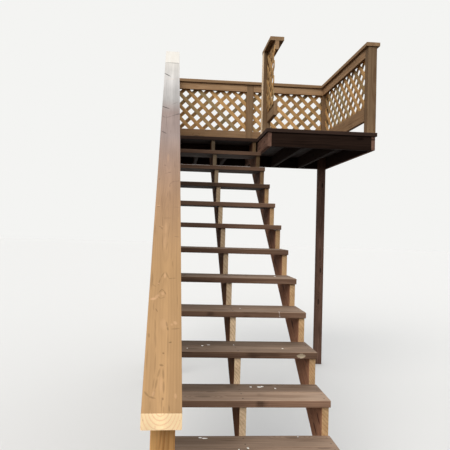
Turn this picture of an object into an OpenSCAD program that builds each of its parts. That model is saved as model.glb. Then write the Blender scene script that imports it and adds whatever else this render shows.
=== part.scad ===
/* [Stairs] */
// Height of one step
rise = 193; // [175:1:200]
// Depth of one step, from nosing to nosing
run = 264; // [250:1:275]
// Number of treads below the deck
tread_count = 13; // [10:1:15]
// Length of a tread
tread_l = 957; // [880:1:1100]
// How far a tread runs past the outer stringers
tread_overhang = 5; // [2:1:12]

/* [Lumber] */
// Thickness of every board
board_t = 38; // [34:1:44]
// Width of a tread, deck, cap or rim board
board_w = 139.5; // [138:0.5:145]
// Width of a rail board
rail_w = 89; // [80:1:95]
// Side of a post
post_w = 89; // [80:1:95]
// Width of the board that a stringer is cut from
stringer_w = 286; // [270:1:300]
// Gap between two boards that lie side by side
board_gap = 2; // [1:0.5:5]
// Rounding of the edges of a board
ease_r = 3; // [1:0.5:5]

/* [Handrail] */
// Height of the handrail above the line of the nosings
handrail_h = 990; // [860:1:1000]
// Distance of the newel from the middle of the stairs
newel_x = 421; // [410:1:428]
// Distance of the lower end of the cap from the middle of the stairs
cap_low_x = 426; // [420:1:434]
// How far the cap runs past the front of the newel
cap_reach = 93; // [40:1:120]
// How far the lower edge of the cap's sawn end stands out
cap_bevel = 8; // [0:1:12]
// How far the cap runs past the back of the top rail post
cap_tail = 51; // [20:1:60]
// Length of the short piece at the top of the cap
cap_piece_l = 306; // [200:1:340]
// Tread under the middle rail post
middle_post_tread = 6; // [4:1:8]
// Length of the tongue of the top rail post beside the stringer
tongue_l = 260; // [150:1:300]

/* [Deck] */
// Depth of the deck behind the head of the stairs
landing_d = 1048; // [900:1:1300]
// How far the deck runs past the left end of the treads
landing_side = 49; // [40:1:60]
// Clear width of each bay of the far guard
bay_w = 917; // [860:1:1060]
// Deck boards beside the top of the stairs
side_boards = 4; // [3:1:6]
// How far the deck boards run past the frame below them
deck_overhang = 15; // [8:1:25]

/* [Guard] */
// Height of the guard above the deck
guard_h = 914; // [860:1:1070]
// Distance of the guard posts from the edge of the deck
guard_inset = 12; // [8:1:20]
// Height of the top of the bottom rail above the deck
low_rail_top = 272; // [200:1:300]
// Width of a lattice slat
slat_w = 46; // [28:1:60]
// Thickness of a lattice slat
slat_t = 8; // [6:1:10]
// Clear opening between two slats
slat_gap = 61; // [50:1:80]
// How far to the side of a panel's middle the nearest crossing lies
crossing_side = -30; // [-50:1:50]
// How far above a panel's middle the nearest crossing lies
crossing_up = -24; // [-50:1:50]
// How far the lattice laps behind each rail
lattice_lap = 40; // [20:1:70]

/* [Hidden] */
tread_d = 2 * board_w + board_gap;
nosing = tread_d - run;
deck_z = (tread_count + 1) * rise;
head_y = tread_count * run;
slope = atan(rise / run);
slope_l = norm([run, rise]);
fit_gap = 1;
far_cut = 9000;

// The stringers stand under the treads, the outer ones set in a little
stringer_x = tread_l / 2 - tread_overhang - board_t / 2;
stringer_drop = stringer_w * slope_l / run;
stringer_top_z = rise - board_t;
stringer_end_y = head_y + tread_d;
sole_back = nosing + (stringer_drop - stringer_top_z) * run / rise;
sole_mid = (nosing + sole_back) / 2;

// Edges of the deck
deck_left = -tread_l / 2 - landing_side;
stair_side = tread_l / 2;
deck_far = head_y + landing_d;
board_step = board_w + board_gap;
side_near = head_y - side_boards * board_step;
deck_under = deck_z - board_t;
rim_bottom = deck_under - board_w;

// Guard posts, each given by its lower left corner
post_left = deck_left + guard_inset;
post_middle = stair_side + guard_inset;
post_right = post_middle + post_w + bay_w;
post_far = deck_far - guard_inset - post_w;
post_head = head_y + guard_inset;
post_side = head_y - board_step - post_w;
post_near = side_near + guard_inset;
deck_right = post_right + post_w + guard_inset;
guard_posts_at = [
    [post_left, post_head], [post_left, post_far], [post_middle, post_far],
    [post_right, post_far], [post_right, post_near], [post_middle, post_side]
];
guard_post_top = deck_z + guard_h - board_t;
top_rail_z = guard_post_top - rail_w;
low_rail_z = deck_z + low_rail_top - board_w;
cap_over = (board_w - post_w) / 2;

// Frame under the deck boards
rim_left = deck_left + deck_overhang;
rim_right = deck_right - deck_overhang;
rim_side = stair_side + deck_overhang;
rim_far = deck_far - deck_overhang;
rim_near = side_near + deck_overhang;
support_far = rim_far - board_t - post_w;
support_head = stringer_end_y + board_t;
support_posts_at = [
    [rim_left + board_t, support_head], [rim_left + board_t, support_far],
    [rim_right - board_t - post_w, support_far]
];
joist_bays = 3;

// The handrail runs from the newel to the line of the deck's left guard
newel_front = nosing - post_w;
cap_low_y = newel_front - cap_reach;
top_post_tread = tread_count - 1;
top_post_y = top_post_tread * run - post_w;
middle_post_y = middle_post_tread * run - post_w;
cap_high_y = top_post_y + post_w + cap_tail;
cap_high_x = post_left + post_w / 2;
cap_run = norm([cap_high_y - cap_low_y, cap_high_x + cap_low_x]);
cap_turn = asin(-(cap_high_x + cap_low_x) / cap_run);
cap_low_z = rise + handrail_h + cap_low_y * rise / run;
cap_plumb = board_t * slope_l / run;

tread_names = [for (i = [1:tread_count]) str("tread_", i < 10 ? "0" : "", i)];

// Outline of a board's section with eased edges, from one corner
function eased_outline(w, t, r = ease_r) = [
    for (c = [[w - r, t - r, 0], [r, t - r, 90], [r, r, 180], [w - r, r, 270]])
        for (a = [0:30:90]) [c[0] + r * cos(c[2] + a), c[1] + r * sin(c[2] + a)]
];

// A board along X, Y or Z from its lowest corner: length, then its two other sizes
module board_x(at, l, depth, height) {
    translate(at) rotate([90, 0, 90]) linear_extrude(l) polygon(eased_outline(depth, height));
}
module board_y(at, l, width, height) {
    translate(at + [0, l, 0]) rotate([90, 0, 0]) linear_extrude(l) polygon(eased_outline(width, height));
}
module post_z(at, l, width = post_w) {
    translate(at) linear_extrude(l) polygon(eased_outline(width, width));
}

// Stringer cut with a notch for every tread and one for the deck's first boards
function notch_y(i) = (i - 1) * run + nosing;
function notch_z(i) = i * rise - board_t;
function stringer_under(y) = stringer_top_z - stringer_drop + (y - nosing) * rise / run;

module stringer(x) {
    outline = concat(
        [[nosing, 0]],
        [for (i = [1:tread_count + 1]) each [[notch_y(i), notch_z(i)], [notch_y(i + 1), notch_z(i)]]],
        [[stringer_end_y, stringer_under(stringer_end_y)], [sole_back, 0]]
    );
    color("#8a5540") translate([x - board_t / 2, 0, 0])
        rotate([90, 0, 90]) linear_extrude(board_t) polygon(outline);
}

// Tread of two boards, the first one cut out round the newel
module tread(i) {
    color("#7d6150") difference() {
        for (k = [0, 1])
            board_x([-tread_l / 2, (i - 1) * run + k * board_step, i * rise - board_t], tread_l, board_w, board_t);
        if (i == 1)
            translate([-tread_l, -run, 0])
                cube([tread_l - newel_x + post_w / 2 + fit_gap, run + nosing + fit_gap, 2 * rise]);
    }
}

// Frame of the handrail: y runs along the rail, the origin is the middle of the cap's lower top edge
module along_rail() {
    translate([-cap_low_x, cap_low_y, cap_low_z]) rotate([0, 0, cap_turn]) children();
}

// Upright slab in the rail's frame: y and z outline, extruded across the rail
module across_rail(w, outline) {
    translate([-w / 2, 0, 0]) rotate([90, 0, 90]) linear_extrude(w) polygon(outline);
}

// All the space above the underside of the cap
module above_rail_underside() {
    along_rail() across_rail(far_cut, [
        [-far_cut, -far_cut * rise / run - cap_plumb],
        [far_cut, far_cut * rise / run - cap_plumb],
        [far_cut, far_cut], [-far_cut, far_cut]
    ]);
}

// Board along the rail with its top at the cap's top, between two upright cuts
module sloped_board(from, to, outline) {
    along_rail() intersection() {
        rotate([slope, 0, 0]) translate([-board_w / 2, 2 * cap_run, -board_t])
            rotate([90, 0, 0]) linear_extrude(4 * cap_run) polygon(eased_outline(board_w, board_t));
        across_rail(2 * board_w, outline);
    }
}

module handrail_cap() {
    joint_y = cap_run - cap_piece_l;
    low = -cap_plumb - cap_bevel * rise / run;
    color("#cda06c") sloped_board(0, joint_y, [
        [cap_bevel, far_cut], [0, 0], [-cap_bevel, low], [-cap_bevel, low - board_t],
        [joint_y, low - board_t], [joint_y, far_cut]
    ]);
}

module handrail_cap_piece() {
    joint_y = cap_run - cap_piece_l;
    color("#e6dccd") sloped_board(joint_y, cap_run, [
        [joint_y, 0], [cap_run, 0], [cap_run, far_cut], [joint_y, far_cut]
    ]);
}

// Rail on edge under the cap, between the posts
module handrail_stiffener() {
    top = -cap_plumb;
    drop = rail_w * slope_l / run;
    color("#b98757") for (bay = [[nosing, middle_post_y], [middle_post_y + post_w, top_post_y]])
        intersection() {
            along_rail() across_rail(board_t, [
                [0, top], [cap_run, top + cap_run * rise / run],
                [cap_run, top - drop + cap_run * rise / run], [0, top - drop]
            ]);
            translate([-tread_l, bay[0], 0]) cube([tread_l, bay[1] - bay[0], far_cut]);
        }
}

// Distance of the rail's middle line from the middle of the stairs
function rail_x(y) = -cap_low_x + (y - cap_low_y) * (cap_high_x + cap_low_x) / (cap_high_y - cap_low_y);

module rail_post(x, y, foot_z) {
    difference() {
        post_z([x - post_w / 2, y, foot_z], far_cut / 2 - foot_z);
        above_rail_underside();
    }
}

module newel_post() {
    color("#b98757") rail_post(-newel_x, newel_front, 0);
}

module middle_rail_post() {
    color("#b98757") rail_post(rail_x(middle_post_y + post_w / 2), middle_post_y, middle_post_tread * rise);
}

// Stands on its tread and reaches down beside the stringer with a tongue
module top_rail_post() {
    x = rail_x(top_post_y + post_w / 2);
    foot = top_post_tread * rise;
    color("#b98757") difference() {
        rail_post(x, top_post_y, foot - tongue_l);
        translate([-tread_l / 2, top_post_y - run, foot - run - tongue_l])
            cube([tread_l, 2 * run, run + tongue_l]);
    }
}

// Deck boards run across the stairs, the last one ripped to fit
module deck_boards_landing() {
    rows = ceil(landing_d / board_step);
    color("#7d6150") for (i = [0:rows - 1]) {
        w = min(board_w, landing_d - i * board_step);
        if (w > 2 * ease_r)
            board_x([deck_left, head_y + i * board_step, deck_under], deck_right - deck_left, w, board_t);
    }
}

module deck_boards_side() {
    color("#7d6150") for (i = [0:side_boards - 1])
        board_x([stair_side, side_near + i * board_step, deck_under], deck_right - stair_side, board_w, board_t);
}

// Boards on edge round the frame and between
module edge_board_x(x, y, l) {
    color("#5d4136") board_x([x, y, rim_bottom], l, board_t, board_w);
}
module edge_board_y(x, y, l) {
    color("#5d4136") board_y([x, y, rim_bottom], l, board_t, board_w);
}
module rim_far() {
    edge_board_x(rim_left, rim_far - board_t, rim_right - rim_left);
}
module rim_left() {
    edge_board_y(rim_left, head_y + deck_overhang, rim_far - board_t - head_y - deck_overhang);
}
module rim_right() {
    edge_board_y(rim_right - board_t, rim_near, rim_far - board_t - rim_near);
}
module rim_side() {
    edge_board_y(rim_side, rim_near, rim_far - board_t - rim_near);
}
module rim_stair_head() {
    edge_board_x(rim_left + board_t, stringer_end_y, rim_side - rim_left - board_t);
}
module ledger() {
    edge_board_x(rim_side + board_t, rim_near, rim_right - rim_side - 2 * board_t);
}

module deck_joists() {
    back = rim_far - board_t;
    bays = [
        [rim_left, rim_side, stringer_end_y + board_t],
        [rim_side, rim_right - board_t, rim_near + board_t]
    ];
    for (bay = bays) {
        step = (bay[1] - bay[0]) / joist_bays;
        for (i = [1:joist_bays - 1]) edge_board_y(bay[0] + i * step, bay[2], back - bay[2]);
    }
}

module support_posts() {
    color("#5d4136") for (p = support_posts_at) post_z([p[0], p[1], 0], deck_under);
}

module guard_posts() {
    color("#9a7350") for (p = guard_posts_at) post_z([p[0], p[1], deck_z], guard_post_top - deck_z);
}

// The two rails of a bay, flush with the deck side of the posts
module rails_x(from, to, y) {
    board_x([from, y, top_rail_z], to - from, board_t, rail_w);
    board_x([from, y, low_rail_z], to - from, board_t, board_w);
}
module rails_y(from, to, x) {
    board_y([x, from, top_rail_z], to - from, board_t, rail_w);
    board_y([x, from, low_rail_z], to - from, board_t, board_w);
}
module guard_rails_far() {
    color("#9a7350") {
        rails_x(post_left + post_w, post_middle, post_far);
        rails_x(post_middle + post_w, post_right, post_far);
    }
}
module guard_rails_sides() {
    color("#9a7350") {
        rails_y(post_head + post_w, post_far, post_left + post_w - board_t);
        rails_y(post_near + post_w, post_far, post_right);
        rails_y(side_near, post_side, post_middle + post_w - board_t);
    }
}

// Caps lie flat on the posts and rails and meet square at the corners
module guard_cap_far() {
    color("#9a7350") board_x([post_left - cap_over, post_far - cap_over, guard_post_top],
        post_right + post_w - post_left + 2 * cap_over, board_w, board_t);
}
module guard_cap_left() {
    color("#9a7350") board_y([post_left - cap_over, post_head, guard_post_top],
        post_far - cap_over - post_head, board_w, board_t);
}
module guard_cap_right() {
    color("#9a7350") board_y([post_right - cap_over, side_near, guard_post_top],
        post_far - cap_over - side_near, board_w, board_t);
}
module guard_cap_side() {
    color("#9a7350") board_y([post_middle, side_near, guard_post_top],
        post_side + post_w + guard_inset - side_near, board_w, board_t);
}

// One layer of slanting slats, cut to the panel; a corner slat too short to meet another is left out
module slat_layer(l, h, lean) {
    step = slat_w + slat_gap;
    middle = [l / 2 + crossing_side, h / 2 + crossing_up];
    across = [cos(lean), sin(lean)];
    reach = [for (corner = [[0, 0], [l, 0], [l, h], [0, h]]) (corner - middle) * across];
    shortest = max(slat_t, (slat_gap - slat_w) / 2 + slat_t);
    intersection() {
        square([l, h]);
        for (i = [ceil((min(reach) + shortest) / step):floor((max(reach) - shortest) / step)])
            translate(middle) rotate(lean) translate([i * step - slat_w / 2, -l - h])
                square([slat_w, 2 * (l + h)]);
    }
}

// Lattice panel standing on its edge, its front layer first, with the crossings let in a little
module lattice_panel(l) {
    h = top_rail_z - deck_z - low_rail_top + 2 * lattice_lap;
    let_in = slat_t / 8;
    color("#c39a62") rotate([90, 0, 0]) {
        translate([0, 0, -slat_t]) linear_extrude(slat_t) slat_layer(l, h, 45);
        translate([0, 0, -2 * slat_t + let_in]) linear_extrude(slat_t) slat_layer(l, h, -45);
    }
}

module lattice_along_x(from, to, y) {
    translate([from, y, deck_z + low_rail_top - lattice_lap]) lattice_panel(to - from);
}
module lattice_along_y(from, to, x, side) {
    translate([x, side > 0 ? to : from, deck_z + low_rail_top - lattice_lap])
        rotate([0, 0, -90 * side]) lattice_panel(to - from);
}

module lattice_far_left() {
    lattice_along_x(post_left + post_w, post_middle, post_far + board_t);
}
module lattice_far_right() {
    lattice_along_x(post_middle + post_w, post_right, post_far + board_t);
}
module lattice_left() {
    lattice_along_y(post_head + post_w, post_far, post_left + post_w - board_t, -1);
}
module lattice_right() {
    lattice_along_y(post_near + post_w, post_far, post_right + board_t, 1);
}
module lattice_side() {
    lattice_along_y(side_near, post_side, post_middle + post_w - board_t, -1);
}

// The origin is the middle of the centre stringer's sole
translate([0, -sole_mid, 0]) {
    stringer(-stringer_x);  // stringer_left
    stringer(0);  // stringer_middle
    stringer(stringer_x);  // stringer_right
    for (i = [1:tread_count])
        tread(i);
    newel_post();
    middle_rail_post();
    top_rail_post();
    handrail_stiffener();
    handrail_cap();
    handrail_cap_piece();
    deck_boards_landing();
    deck_boards_side();
    deck_joists();
    rim_far();
    rim_left();
    rim_right();
    rim_side();
    rim_stair_head();
    ledger();
    support_posts();
    guard_posts();
    guard_rails_far();
    guard_rails_sides();
    guard_cap_far();
    guard_cap_left();
    guard_cap_right();
    guard_cap_side();
    lattice_far_left();
    lattice_far_right();
    lattice_left();
    lattice_right();
    lattice_side();
}
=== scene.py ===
"""Looks of a straight open-riser wooden flight that climbs to a small deck with a lattice guard.

Every board is cut from the solid of the construction model, so it stays where the model has it. It
gets worn edges, a slightly uneven surface and a grain that runs the way the real board was sawn.
"""

import math
import random
from dataclasses import dataclass
from types import SimpleNamespace

import bmesh
import bpy
import numpy as np
from mathutils import Matrix, Vector, noise


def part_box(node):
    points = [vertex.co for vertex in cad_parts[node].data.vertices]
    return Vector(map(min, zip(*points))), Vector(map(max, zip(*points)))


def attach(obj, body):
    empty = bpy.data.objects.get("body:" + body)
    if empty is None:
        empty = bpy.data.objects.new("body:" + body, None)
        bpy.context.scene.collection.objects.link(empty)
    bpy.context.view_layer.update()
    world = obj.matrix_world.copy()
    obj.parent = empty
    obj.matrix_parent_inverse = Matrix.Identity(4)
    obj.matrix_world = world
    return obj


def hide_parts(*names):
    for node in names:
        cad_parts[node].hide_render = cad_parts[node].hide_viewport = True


bl_info = {
    "name": "Wooden Deck Stairs",
    "version": (1, 0, 0),
    "blender": (4, 5, 0),
    "location": "View3D > Sidebar > Deck Stairs",
    "description": "Dresses the deck stairs with timber, fasteners and a studio stage",
    "category": "Add Mesh",
}

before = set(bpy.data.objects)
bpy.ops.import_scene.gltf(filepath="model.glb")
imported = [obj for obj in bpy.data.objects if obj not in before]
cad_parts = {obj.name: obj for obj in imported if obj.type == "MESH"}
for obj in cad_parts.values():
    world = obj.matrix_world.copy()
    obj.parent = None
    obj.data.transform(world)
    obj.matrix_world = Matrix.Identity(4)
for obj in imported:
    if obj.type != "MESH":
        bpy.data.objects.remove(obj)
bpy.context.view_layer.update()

MM = 0.001
UP = Vector((0, 0, 1))
TREADS = sorted(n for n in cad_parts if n.startswith("tread_"))
STRINGERS = ("stringer_left", "stringer_middle", "stringer_right")
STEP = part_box(TREADS[1])[0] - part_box(TREADS[0])[0]
CLIMB = Vector((0.0, STEP.y, STEP.z)).normalized()


def linear(code):
    """Linear colour of an sRGB hex value such as "#8a6a50"."""
    channels = [int(code[i : i + 2], 16) / 255 for i in (1, 3, 5)]
    return tuple(c / 12.92 if c <= 0.04045 else ((c + 0.055) / 1.055) ** 2.4 for c in channels)


def colour(label, code):
    """A colour setting whose default is given as an sRGB hex value."""
    return bpy.props.FloatVectorProperty(
        name=label, description=f"{label}, in good light", subtype="COLOR", min=0, max=1, default=linear(code)
    )


def length(label, text, value):
    """A length setting in metres."""
    return bpy.props.FloatProperty(
        name=label, description=text, subtype="DISTANCE", unit="LENGTH", precision=4, default=value
    )


def strength(label, text, value):
    """A strength setting of a light."""
    return bpy.props.FloatProperty(name=label, description=text, min=0, default=value)


class DeckStairColours(bpy.types.PropertyGroup):
    """Colours of the wood, pale part of the grain first"""

    tread_pale: colour("Tread top, early wood", "#97816f")
    tread_dark: colour("Tread top, late wood", "#76604f")
    edge_pale: colour("Tread edge, early wood", "#755c4b")
    edge_dark: colour("Tread edge, late wood", "#553e31")
    stringer_pale: colour("Stringer, early wood", "#a0745a")
    stringer_dark: colour("Stringer, late wood", "#744e3c")
    shaded_pale: colour("Stringer in painted shade, early wood", "#9c6a47")
    shaded_dark: colour("Stringer in painted shade, late wood", "#71472e")
    sawn_pale: colour("Sawn face, early wood", "#ceac82")
    sawn_dark: colour("Sawn face, late wood", "#ac845b")
    middle_pale: colour("Weathered sawn face, early wood", "#d2ba9a")
    middle_dark: colour("Weathered sawn face, late wood", "#ab9173")
    cap_gold: colour("Handrail cap, low end", "#bd966b")
    cap_tan: colour("Handrail cap, a third up", "#b28e6e")
    cap_brown: colour("Handrail cap, halfway", "#a78b79")
    cap_rose: colour("Handrail cap, above the middle", "#a3918a")
    cap_grey: colour("Handrail cap, two thirds up", "#b4b0ad")
    cap_silver: colour("Handrail cap, bleached stretch", "#d4d0cd")
    cap_white: colour("Handrail cap, high end", "#ddd8d1")
    end_pale: colour("Fresh cut end, early wood", "#fcdbae")
    end_dark: colour("Fresh cut end, late wood", "#ac956a")
    new_pale: colour("New board, early wood", "#fbf8f2")
    new_dark: colour("New board, late wood", "#f0e7da")
    post_pale: colour("Rail post, early wood", "#e2ae70")
    post_dark: colour("Rail post, late wood", "#ae7744")
    guard_pale: colour("Guard, early wood", "#b59673")
    guard_dark: colour("Guard, late wood", "#916e4f")
    post_light_pale: colour("Post face in painted light, early wood", "#dcc8ac")
    post_light_dark: colour("Post face in painted light, late wood", "#b49c80")
    slat_pale: colour("Lattice slat, early wood", "#d4ac76")
    slat_dark: colour("Lattice slat, late wood", "#ac8250")
    slat_grey: colour("Weathered lattice slat", "#a89b78")
    frame_pale: colour("Framing, early wood", "#7a5e50")
    frame_dark: colour("Framing, late wood", "#513c33")
    broken: colour("Broken knot", "#b4a48c")
    screw: colour("Coated screw", "#4a3c30")
    zinc: colour("Zinc bolt", "#8f8f88")
    paint: colour("Dried paint", "#fbf8f2")
    floor: colour("Studio floor", "#e5e4e2")


class DeckStairSizes(bpy.types.PropertyGroup):
    """Sizes of the details that the boards carry"""

    arris: length("Cut edge", "Width of the worn edge left by the saw", 0.0010)
    unevenness: length("Unevenness", "How far the surface of a board wanders", 0.0007)
    screw_head: length("Screw head", "Diameter of a deck screw's head", 0.0085)
    bolt_head: length("Bolt head", "Diameter of a carriage bolt's head", 0.022)
    slat_width: length("Slat width", "Width of a lattice slat", 0.046)
    slat_thickness: length("Slat thickness", "Thickness of a lattice slat", 0.008)
    slat_opening: length("Slat opening", "Clear opening between two slats", 0.061)
    slat_let_in: length("Slat let in", "How far the rear layer of slats is pressed into the front one", 0.001)
    crossing_side: length("Crossing sideways", "From the middle of a panel sideways to a crossing", -0.030)
    crossing_up: length("Crossing up", "From the middle of a panel up to a crossing", -0.024)


class DeckStairStage(bpy.types.PropertyGroup):
    """Floor, light and camera"""

    sky: strength("Sky", "Strength of the even light overhead", 0.74)
    horizon: strength("Horizon", "Strength of the even light at eye level", 0.70)
    sun: strength("Sun", "Strength of the soft sun", 1.7)
    fill: strength("Fill", "Strength of the light from behind", 0.6)
    sun_size: bpy.props.FloatProperty(
        name="Sun size", description="Angle that a lamp fills", subtype="ANGLE", default=math.radians(50)
    )
    lens: bpy.props.FloatProperty(
        name="Lens", description="Focal length of the camera", subtype="DISTANCE_CAMERA", default=38.76, min=1
    )
    lens_shift: bpy.props.FloatVectorProperty(
        name="Lens shift", description="Shift of the lens sideways and up", size=2, default=(0.03355, -0.0229)
    )
    eye: bpy.props.FloatVectorProperty(
        name="Camera", description="Where the camera stands", subtype="TRANSLATION", unit="LENGTH",
        default=(-0.4063, -1.9701, 1.6830)
    )
    aim: bpy.props.FloatVectorProperty(
        name="Camera turn", description="How far the camera turns right, looks up and tips right",
        subtype="EULER", unit="ROTATION", default=(0.0743, 0.0311, -0.0295)
    )


def add(tree, kind, settings=None, inputs=None, stops=()):
    """Adds a node, sets its settings and the stops of its ramp, and links or fills its inputs.

    A stop is a place from 0 to 1 and a colour. A colour mix tells its sockets apart by number only:
    inputs 0, 6 and 7 are the factor and the two colours, and output 2 is the result.
    """
    node = tree.nodes.new(kind)
    for key, value in (settings or {}).items():
        setattr(node, key, value)
    for _ in stops[2:]:
        node.color_ramp.elements.new(0.5)
    if stops:
        for stop, (place, tint) in zip(node.color_ramp.elements, stops):
            stop.position = place
            stop.color = (*tint, 1)
    for key, value in (inputs or {}).items():
        if isinstance(value, bpy.types.NodeSocket):
            tree.links.new(value, node.inputs[key])
        else:
            node.inputs[key].default_value = value
    return node


def shares(stops):
    """Stops at places along a board, with each place as a share of the way from the first to the last."""
    first, last = stops[0][0], stops[-1][0]
    return [((place - first) / (last - first), tint) for place, tint in stops]


def scale_of(*sizes):
    """Scale of a pattern whose marks have these sizes in millimetres along, across and through a board."""
    return [1 / (size * MM) for size in sizes]


def empty_material(name):
    """A material whose nodes are still to be added."""
    material = bpy.data.materials.new(name)
    material.use_nodes = True
    material.node_tree.nodes.clear()
    return material


@dataclass
class Wood:
    """How the boards of one material look, with lengths in metres unless a line says otherwise"""

    pale: tuple  # colour of the early wood
    dark: tuple  # colour of the late wood
    ring: float = 7.0  # width of a year ring in millimetres, drawn wide enough to show
    wander: float = 0.05  # how far the rings wander off a straight line
    contrast: float = 1.0  # how much of the rings shows
    streaks: float = 1.25  # how much of the broad streaks shows
    fibre: float = 0.16  # how far the fibres change the tone
    stain: float = 0.14  # how far the blotches change the tone
    wear: float = 0.35  # how far the edges are rubbed pale
    roughness: float = 0.78  # matt, as unvarnished wood is
    gloss: float = 0.12  # low, because dry open-grained wood hardly shines
    relief: float = 0.35  # strength of the relief of the grain
    edge: tuple = ()  # early and late wood of edges and undersides, where they differ
    end: tuple = ()  # early and late wood of cut ends, where they differ
    knot_share: float = 0.25  # share of the places for a knot that have one
    knot_dark: float = 0.8  # how dark knots are
    checks: float = 0.5  # how dark drying checks are
    along: tuple = ()  # stops along the board: place and colour
    across: tuple = ()  # stops across the board: place and tone
    stem: tuple = ()  # stops of the pith along the board: place, way to the side and way up
    scars: tuple = ()  # dark strokes: half width, strength and the points that they join
    gleams: tuple = ()  # pale strokes, in the same form
    bare: tuple = ()  # colour of wood that broke open


# Marks that run along the boards. Each line has their length and width in millimetres, from how many of them
# lie in a metre, and the detail and roughness of the noise. Fibres and checks are drawn wide enough to show
MARKS = {
    "blotch": (1000 / 3.5, 1000 / 11, 4.0, 0.5),
    "fibre": (1000 / 3, 1000 / 190, 3.0, 0.6),
    "streak": (1000 / 1.1, 1000 / 30, 2.0, 0.5),
    "check": (1000 / 4.5, 1000 / 85, 1.0, 0.5),
}

# Length and width of the bends of a stem, and of the room round each place for a knot, in millimetres
BEND = (1000 / 1.1, 200)
KNOT_ROOM = (1000 / 2.6, 1000 / 9)

# A knot's radius, as a share of its room, and its tone, as a share of the late wood's
KNOT_RADIUS = 0.10
KNOT_TONE = 0.42

# Distances from a knot's middle in its radii: from where to where the wood turns to knot, and from where to
# where the rings swell round it, by how many millimetres. Where no knot grows, so many radii are added
KNOT_RIM = (1.15, 0.75)
SWELL = (4.0, 0.2, 30)
NO_KNOT = 9.0

# Late wood across a year's ring: it comes up slowly, is darkest near the end, and stops at once
YEAR = ((0.0, (0, 0, 0)), (0.35, (0.12, 0.12, 0.12)), (0.80, (1, 1, 1)), (1.0, (0, 0, 0)))

# Rings and streaks together give the share of dark wood in a place: the level that they lie round, how much
# late wood adds at full contrast, and the mean of that
DARK_LEVEL = 0.425
RING_GAIN = 0.55
RING_MEAN = 0.18

# Tones of early and late wood where a board has its colours from end to end
EARLY_TONE, LATE_TONE = 1.13, 0.76

# How much thinner the late wood's lines get in a cut end, as the power that they are raised to
END_THINNING = 3.0

# Between which values broad noise and fine noise stay nearly everywhere
BROAD = (0.25, 0.75)
FINE = (0.3, 0.7)

# Noise in which a drying check starts to open, and in which it is open
SPLIT = (0.70, 0.78)

# Pale strokes are lighter than the pale wood, most of all in their blue
GLEAM_GAINS = (1.45, 1.45, 1.75)

# Edges get paler between these depths in millimetres, up to this tone. Wear counts so many times, because
# the blotches take some of it away
RUB_DEPTHS = (7, 1)
RUB_TONE = 1.6
RUB_GAIN = 1.6

# How far in from its rim a stroke has its full strength, as a share of the way to its middle
STROKE_RIM = 0.6

# Relief of the wood: height of late wood and depth of a split, both beside the fibres' height of 1, and the
# millimetres that this 1 stands for
LATE_HEIGHT = 0.5
SPLIT_DEPTH = 1.5
RELIEF_HEIGHT = 1.2

# How much smoother and rougher than the whole its fibres are
SMOOTHER, ROUGHER = 0.07, 0.09

# Relief of dirt and how many millimetres it is high, and how much it changes the roughness
DIRT_RELIEF = 0.3
DIRT_HEIGHT = 0.3
DIRT_ROUGHNESS = 0.1

# How far apart boards lie in the log that all patterns are drawn in, in metres
LOG_LENGTH = 53.7

# How far to the side of a board the pith lies at most, in metres
PITH_ASIDE = 0.06

# A ramp holds values from 0 to 1. It carries the pith's place as a half and so many times the metres,
# and a tone as so many times its value
PITH_GAIN = 5
TONE_GAIN = 0.5


def board_data(tree):
    """What the boards' meshes tell their material, as sockets with names.

    grain is the place in the board, along, across and through it, place has the same as three
    sockets, and half has half the board's size. seed is a number of the board's own, tone is its
    lightness, and pith says how far it lies from the middle of the log. is_end is 1 on a cut end and
    is_top on a worn top. log is the place in a log of the board's own.
    """
    grain, half, board, face = (
        add(tree, "ShaderNodeAttribute", {"attribute_name": name}).outputs["Vector"]
        for name in ("grain", "half", "board", "face"))
    place, size, own, kind = (
        add(tree, "ShaderNodeSeparateXYZ", None, {0: socket}).outputs
        for socket in (grain, half, board, face))
    shift = add(tree, "ShaderNodeMath", {"operation": "MULTIPLY"}, {0: own[0], 1: LOG_LENGTH}).outputs[0]
    away = add(tree, "ShaderNodeCombineXYZ", None, {0: shift, 1: own[0], 2: shift}).outputs[0]
    log = add(tree, "ShaderNodeVectorMath", {"operation": "ADD"}, {0: grain, 1: away}).outputs[0]
    return SimpleNamespace(grain=grain, place=place, half=size, seed=own[0], tone=own[1], pith=own[2],
                           is_end=kind[0], is_top=kind[1], log=log)


def draw_marks(tree, data):
    """Noise for each kind of mark, drawn out along the board."""
    marks = {}
    for name, (long, wide, detail, roughness) in MARKS.items():
        drawn_out = add(tree, "ShaderNodeVectorMath", {"operation": "MULTIPLY"},
                        {0: data.log, 1: scale_of(long, wide, wide)}).outputs[0]
        marks[name] = add(tree, "ShaderNodeTexNoise", None, {
            "Vector": drawn_out, "Scale": 1.0, "Detail": detail, "Roughness": roughness}).outputs["Fac"]
    return marks


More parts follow.
